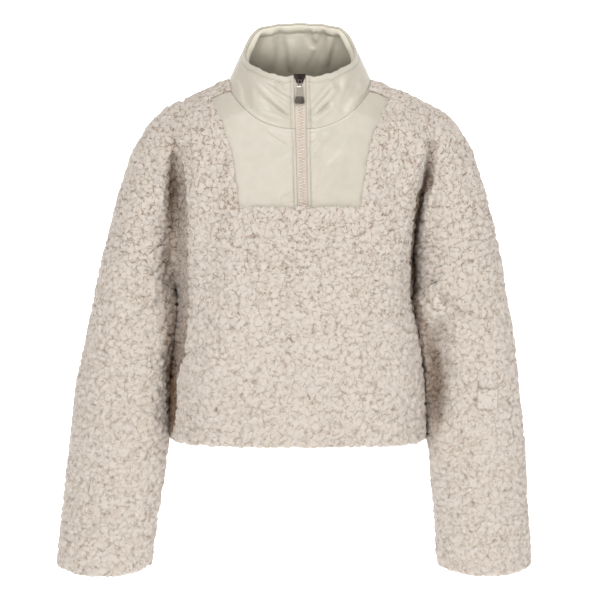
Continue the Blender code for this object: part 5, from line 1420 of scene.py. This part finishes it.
# Zip tape: a thin strip from the teeth to behind the placket, a little thicker at the teeth.
def buildTape(side):
    heights = np.linspace(zipper["top"][1] - 3.5, body["yokeBottomZ"] + 1.0, 97)
    across = np.linspace(0.15, zipper["tapeOuter"], 13)
    grid = zipLine(heights[:, None], sideSign[side] * across[None], zipper["tapeSink"])
    normal = outwardNormals(grid)
    rib = 0.35 * softLine(across - 4.6, 0.7) + 0.12 * np.sin(across * 2 * math.pi / 1.1)
    outer = grid + normal * rib[None, :, None]
    inner = (grid - normal * zipper["tape"])[::2, ::2]
    return nylonPiece("zipTape" + side.title(), outer, inner, materials["tape"]), grid


# Closed moulded teeth, one from each side in turn, each a rounded bar past the middle.
def buildTeeth():
    heights = np.arange(zipper["top"][1] - 13, body["yokeBottomZ"] + 1.5, -zipper["pitch"])
    side = np.where(np.arange(len(heights)) % 2 == 0, 1.0, -1.0)
    across = side * zipper["toothOffset"]
    middles = zipLine(heights, across, zipper["toothSink"])
    ahead = unit(zipLine(heights + 1, across, zipper["toothSink"]) - middles)
    way = np.tile((1.0, 0, 0), (len(heights), 1))
    axes = np.stack([way, ahead, np.cross(way, ahead)], 1)
    shape, faces = capsule(zipper["tooth"], zipper["toothRadius"], flat=1.5)
    return scatterMesh("zipTeeth", shape, faces, middles, axes, materials["teeth"])


badge = {"centre": (258.0, -430.0), "half": 14.5, "corner": 3.2, "lift": 2.7, "thick": 2.4}


# Bare square badge on the left forearm: a soft patch with rounded corners, laid on the sleeve.
def buildBadge():
    near = sleevePoints("left", np.linspace(0.3, 0.6, 241)[:, None],
                        np.linspace(0.3, math.pi - 0.6, 241)[None])
    steps = np.linspace(-1, 1, 25)
    u, v = np.meshgrid(steps, -steps)
    drawnIn = 1 - badge["corner"] / badge["half"] * 0.3 * (np.abs(u) ** 6 * np.abs(v) ** 6)
    x = badge["centre"][0] + u * drawnIn * badge["half"]
    z = badge["centre"][1] + v * drawnIn * badge["half"]
    sleeveX, sleeveY, sleeveZ = near.reshape(-1, 3).T
    miss = np.hypot(sleeveX[None] - x.reshape(-1, 1), sleeveZ[None] - z.reshape(-1, 1))
    y = sleeveY[miss.argmin(axis=1)].reshape(x.shape)
    grid = np.stack([x, soften(y, 6), z], -1)
    normal = outwardNormals(grid)
    edge = np.minimum(1 - np.abs(u), 1 - np.abs(v)) * badge["half"]
    height = badge["lift"] - 0.9 * np.exp(-edge / 0.7) + 0.25 * softLine(edge - 1.6, 0.6)
    outer = grid + normal * height[..., None]
    inner = (grid + normal * (badge["lift"] - badge["thick"]))[::2, ::2]
    # A faint painted shade along the badge's edge.
    values = {"paintedShade": 0.22 * softLine(edge - 0.5, 0.9), "openness": np.full(u.shape, 0.9)}
    return clothMesh("sleeveBadge", outer, inner, np.ones((12, 12), bool), materials["sherpa"], values)


# Width, length and area of a piece's cut in metres, measured along its smooth grid.
def flatSize(grid, present=None, ring=False):
    closed = np.concatenate([grid, grid[:, :1]], axis=1) if ring else grid
    across = np.linalg.norm(np.diff(closed, axis=1), axis=2)
    down = np.linalg.norm(np.diff(closed, axis=0), axis=2)
    corner = closed[:-1, :-1]
    cell = np.linalg.norm(np.cross(closed[1:, :-1] - corner, closed[:-1, 1:] - corner), axis=2)
    shown = np.ones(cell.shape, bool) if present is None else np.repeat(np.repeat(present, 2, 0), 2, 1)
    width = float(across.sum(axis=1).max()) * mm
    length = float(down.sum(axis=0).max()) * mm
    area = float((cell * shown[:cell.shape[0], :cell.shape[1]]).sum()) * mm * mm
    return (width, length), min(area, width * length)


# Rides with the garment or the given body, and stands for its CAD nodes, which it hides.
def declare(piece, nodes, body="garment"):
    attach(piece, body)
    if nodes:
        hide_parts(*nodes)


frontPiece, frontCut = buildFront()
print("front", len(frontPiece.data.polygons))
backPiece, backCut = buildBack()
print("back", len(backPiece.data.polygons))
sleevePieces = {side: buildSleeve(side) for side in ("right", "left")}
print("sleeves", len(sleevePieces["right"][0].data.polygons))
collarPiece, collarGrid, collarOuter, collarNormal = buildCollar()
liningPiece, liningGrid = buildLining()
yokePieces = {side: buildYoke(side) for side in ("right", "left")}
print("nylon", len(collarPiece.data.polygons))
stitchPiece = buildStitches(collarGrid, collarOuter, collarNormal,
                            [yokePieces[side][1:] for side in ("right", "left")])
tapePieces = {side: buildTape(side) for side in ("right", "left")}
teethPiece = buildTeeth()
pullPieces = buildPull()
badgePiece = buildBadge()
print("zip and badge")

declare(frontPiece, ["front_panel"])
declare(backPiece, ["back_panel"])
for side in ("right", "left"):
    declare(sleevePieces[side][0], ["sleeve_" + side])
    declare(yokePieces[side][0], ["yoke_" + side])
    declare(tapePieces[side][0], ["zip_tape_" + side])
declare(collarPiece, ["collar"])
declare(liningPiece, ["collar_lining"])
declare(stitchPiece, [])
declare(teethPiece, ["zip_chain"])
declare(badgePiece, ["sleeve_badge"])
for piece in pullPieces:
    declare(piece, [], body="pull")


# Metal CAD nodes: their edges are rounded, and they are plated.
def finishMetal(name, material, width):
    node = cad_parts[name]
    node.data.materials.clear()
    node.data.materials.append(material)
    node.data.polygons.foreach_set("use_smooth", np.ones(len(node.data.polygons), bool))
    bevel = node.modifiers.new("rounded edges", "BEVEL")
    bevel.width = width * mm
    bevel.segments = 3
    bevel.limit_method = "ANGLE"
    bevel.angle_limit = math.radians(35)
    bevel.harden_normals = True


finishMetal("zip_slider", materials["gunmetal"], 0.35)
finishMetal("pull_tab", materials["pull"], 0.3)


studio = {"distance": 3.2, "tilt": 3.5, "aimZ": -0.2968, "lens": 137.1, "paperGlow": 0.75,
          "world": (1, 0.94, 0.87, 1), "worldStrength": 0.31}
# name: place, aim, power in watts, size
softboxes = {
    "front softbox": ((-0.9, -2.9, 0.7), (0, 0, -0.3), 27, (1.0, 1.4)),
    "right softbox": ((2.0, -1.9, 0.7), (0, 0, -0.3), 18, (0.8, 1.4)),
    "top softbox": ((-0.2, -1.5, 2.3), (0, 0, -0.25), 40, (1.1, 0.9)),
}


# Camera in front and a little above, with a long lens, tilted down at the garment's middle.
def addCamera():
    camera = bpy.data.objects.new("camera", bpy.data.cameras.new("camera"))
    bpy.context.scene.collection.objects.link(camera)
    camera.data.lens = studio["lens"]
    camera.data.sensor_width = 36.0
    tilt, distance = math.radians(studio["tilt"]), studio["distance"]
    camera.location = (0, -distance * math.cos(tilt), studio["aimZ"] + distance * math.sin(tilt))
    camera.rotation_euler = (math.radians(90) - tilt, 0, 0)
    bpy.context.scene.camera = camera


# Rectangular softbox at a place, turned so that it faces what it aims at.
def addSoftbox(name, place, aim, power, size):
    light = bpy.data.objects.new(name, bpy.data.lights.new(name, "AREA"))
    bpy.context.scene.collection.objects.link(light)
    light.location = place
    way = np.array(aim, float) - np.array(place, float)
    flat = math.hypot(way[0], way[1])
    light.rotation_euler = (math.atan2(flat, -way[2]), 0, math.atan2(-way[0], way[1]) if flat else 0)
    light.data.energy = power
    light.data.shape = "RECTANGLE"
    light.data.size, light.data.size_y = size


# White paper under and behind the garment: level, then a quarter circle up to the wall.
def addStage():
    white = plainMaterial("white paper backdrop", "FFFFFF", 0.9)
    tree = white.node_tree
    shader = tree.nodes["Principled BSDF"]
    shader.inputs["Emission Color"].default_value = (1, 1, 1, 1)
    shader.inputs["Emission Strength"].default_value = studio["paperGlow"]
    steps = np.linspace(0, math.pi / 2, 13)
    near, wall, bend, ground, top = -3.0, 3.6, 0.6, -1.3, 4.0
    curveY = np.concatenate([[near], wall + np.sin(steps) * bend, [wall + bend]])
    curveZ = np.concatenate([[ground], ground + (1 - np.cos(steps)) * bend, [top]])
    x = np.array((-9.0, 9.0))
    points = np.stack([np.repeat(x[None], len(curveY), 0), np.repeat(curveY[:, None], 2, 1),
                       np.repeat(curveZ[:, None], 2, 1)], axis=-1).reshape(-1, 3) / mm
    r = np.arange(len(curveY) - 1)
    quads = np.stack([2 * r, 2 * r + 1, 2 * r + 3, 2 * r + 2], 1)
    floor = addMesh("paper backdrop", points, quads.ravel(), np.full(len(quads), 4), white)


addCamera()
for name, values in softboxes.items():
    addSoftbox(name, *values)
addStage()
world = bpy.data.worlds.new("studio")
bpy.context.scene.world = world
world.use_nodes = True
background = world.node_tree.nodes["Background"]
background.inputs["Color"].default_value = studio["world"]
background.inputs["Strength"].default_value = studio["worldStrength"]
bpy.context.scene.view_settings.view_transform = "Standard"
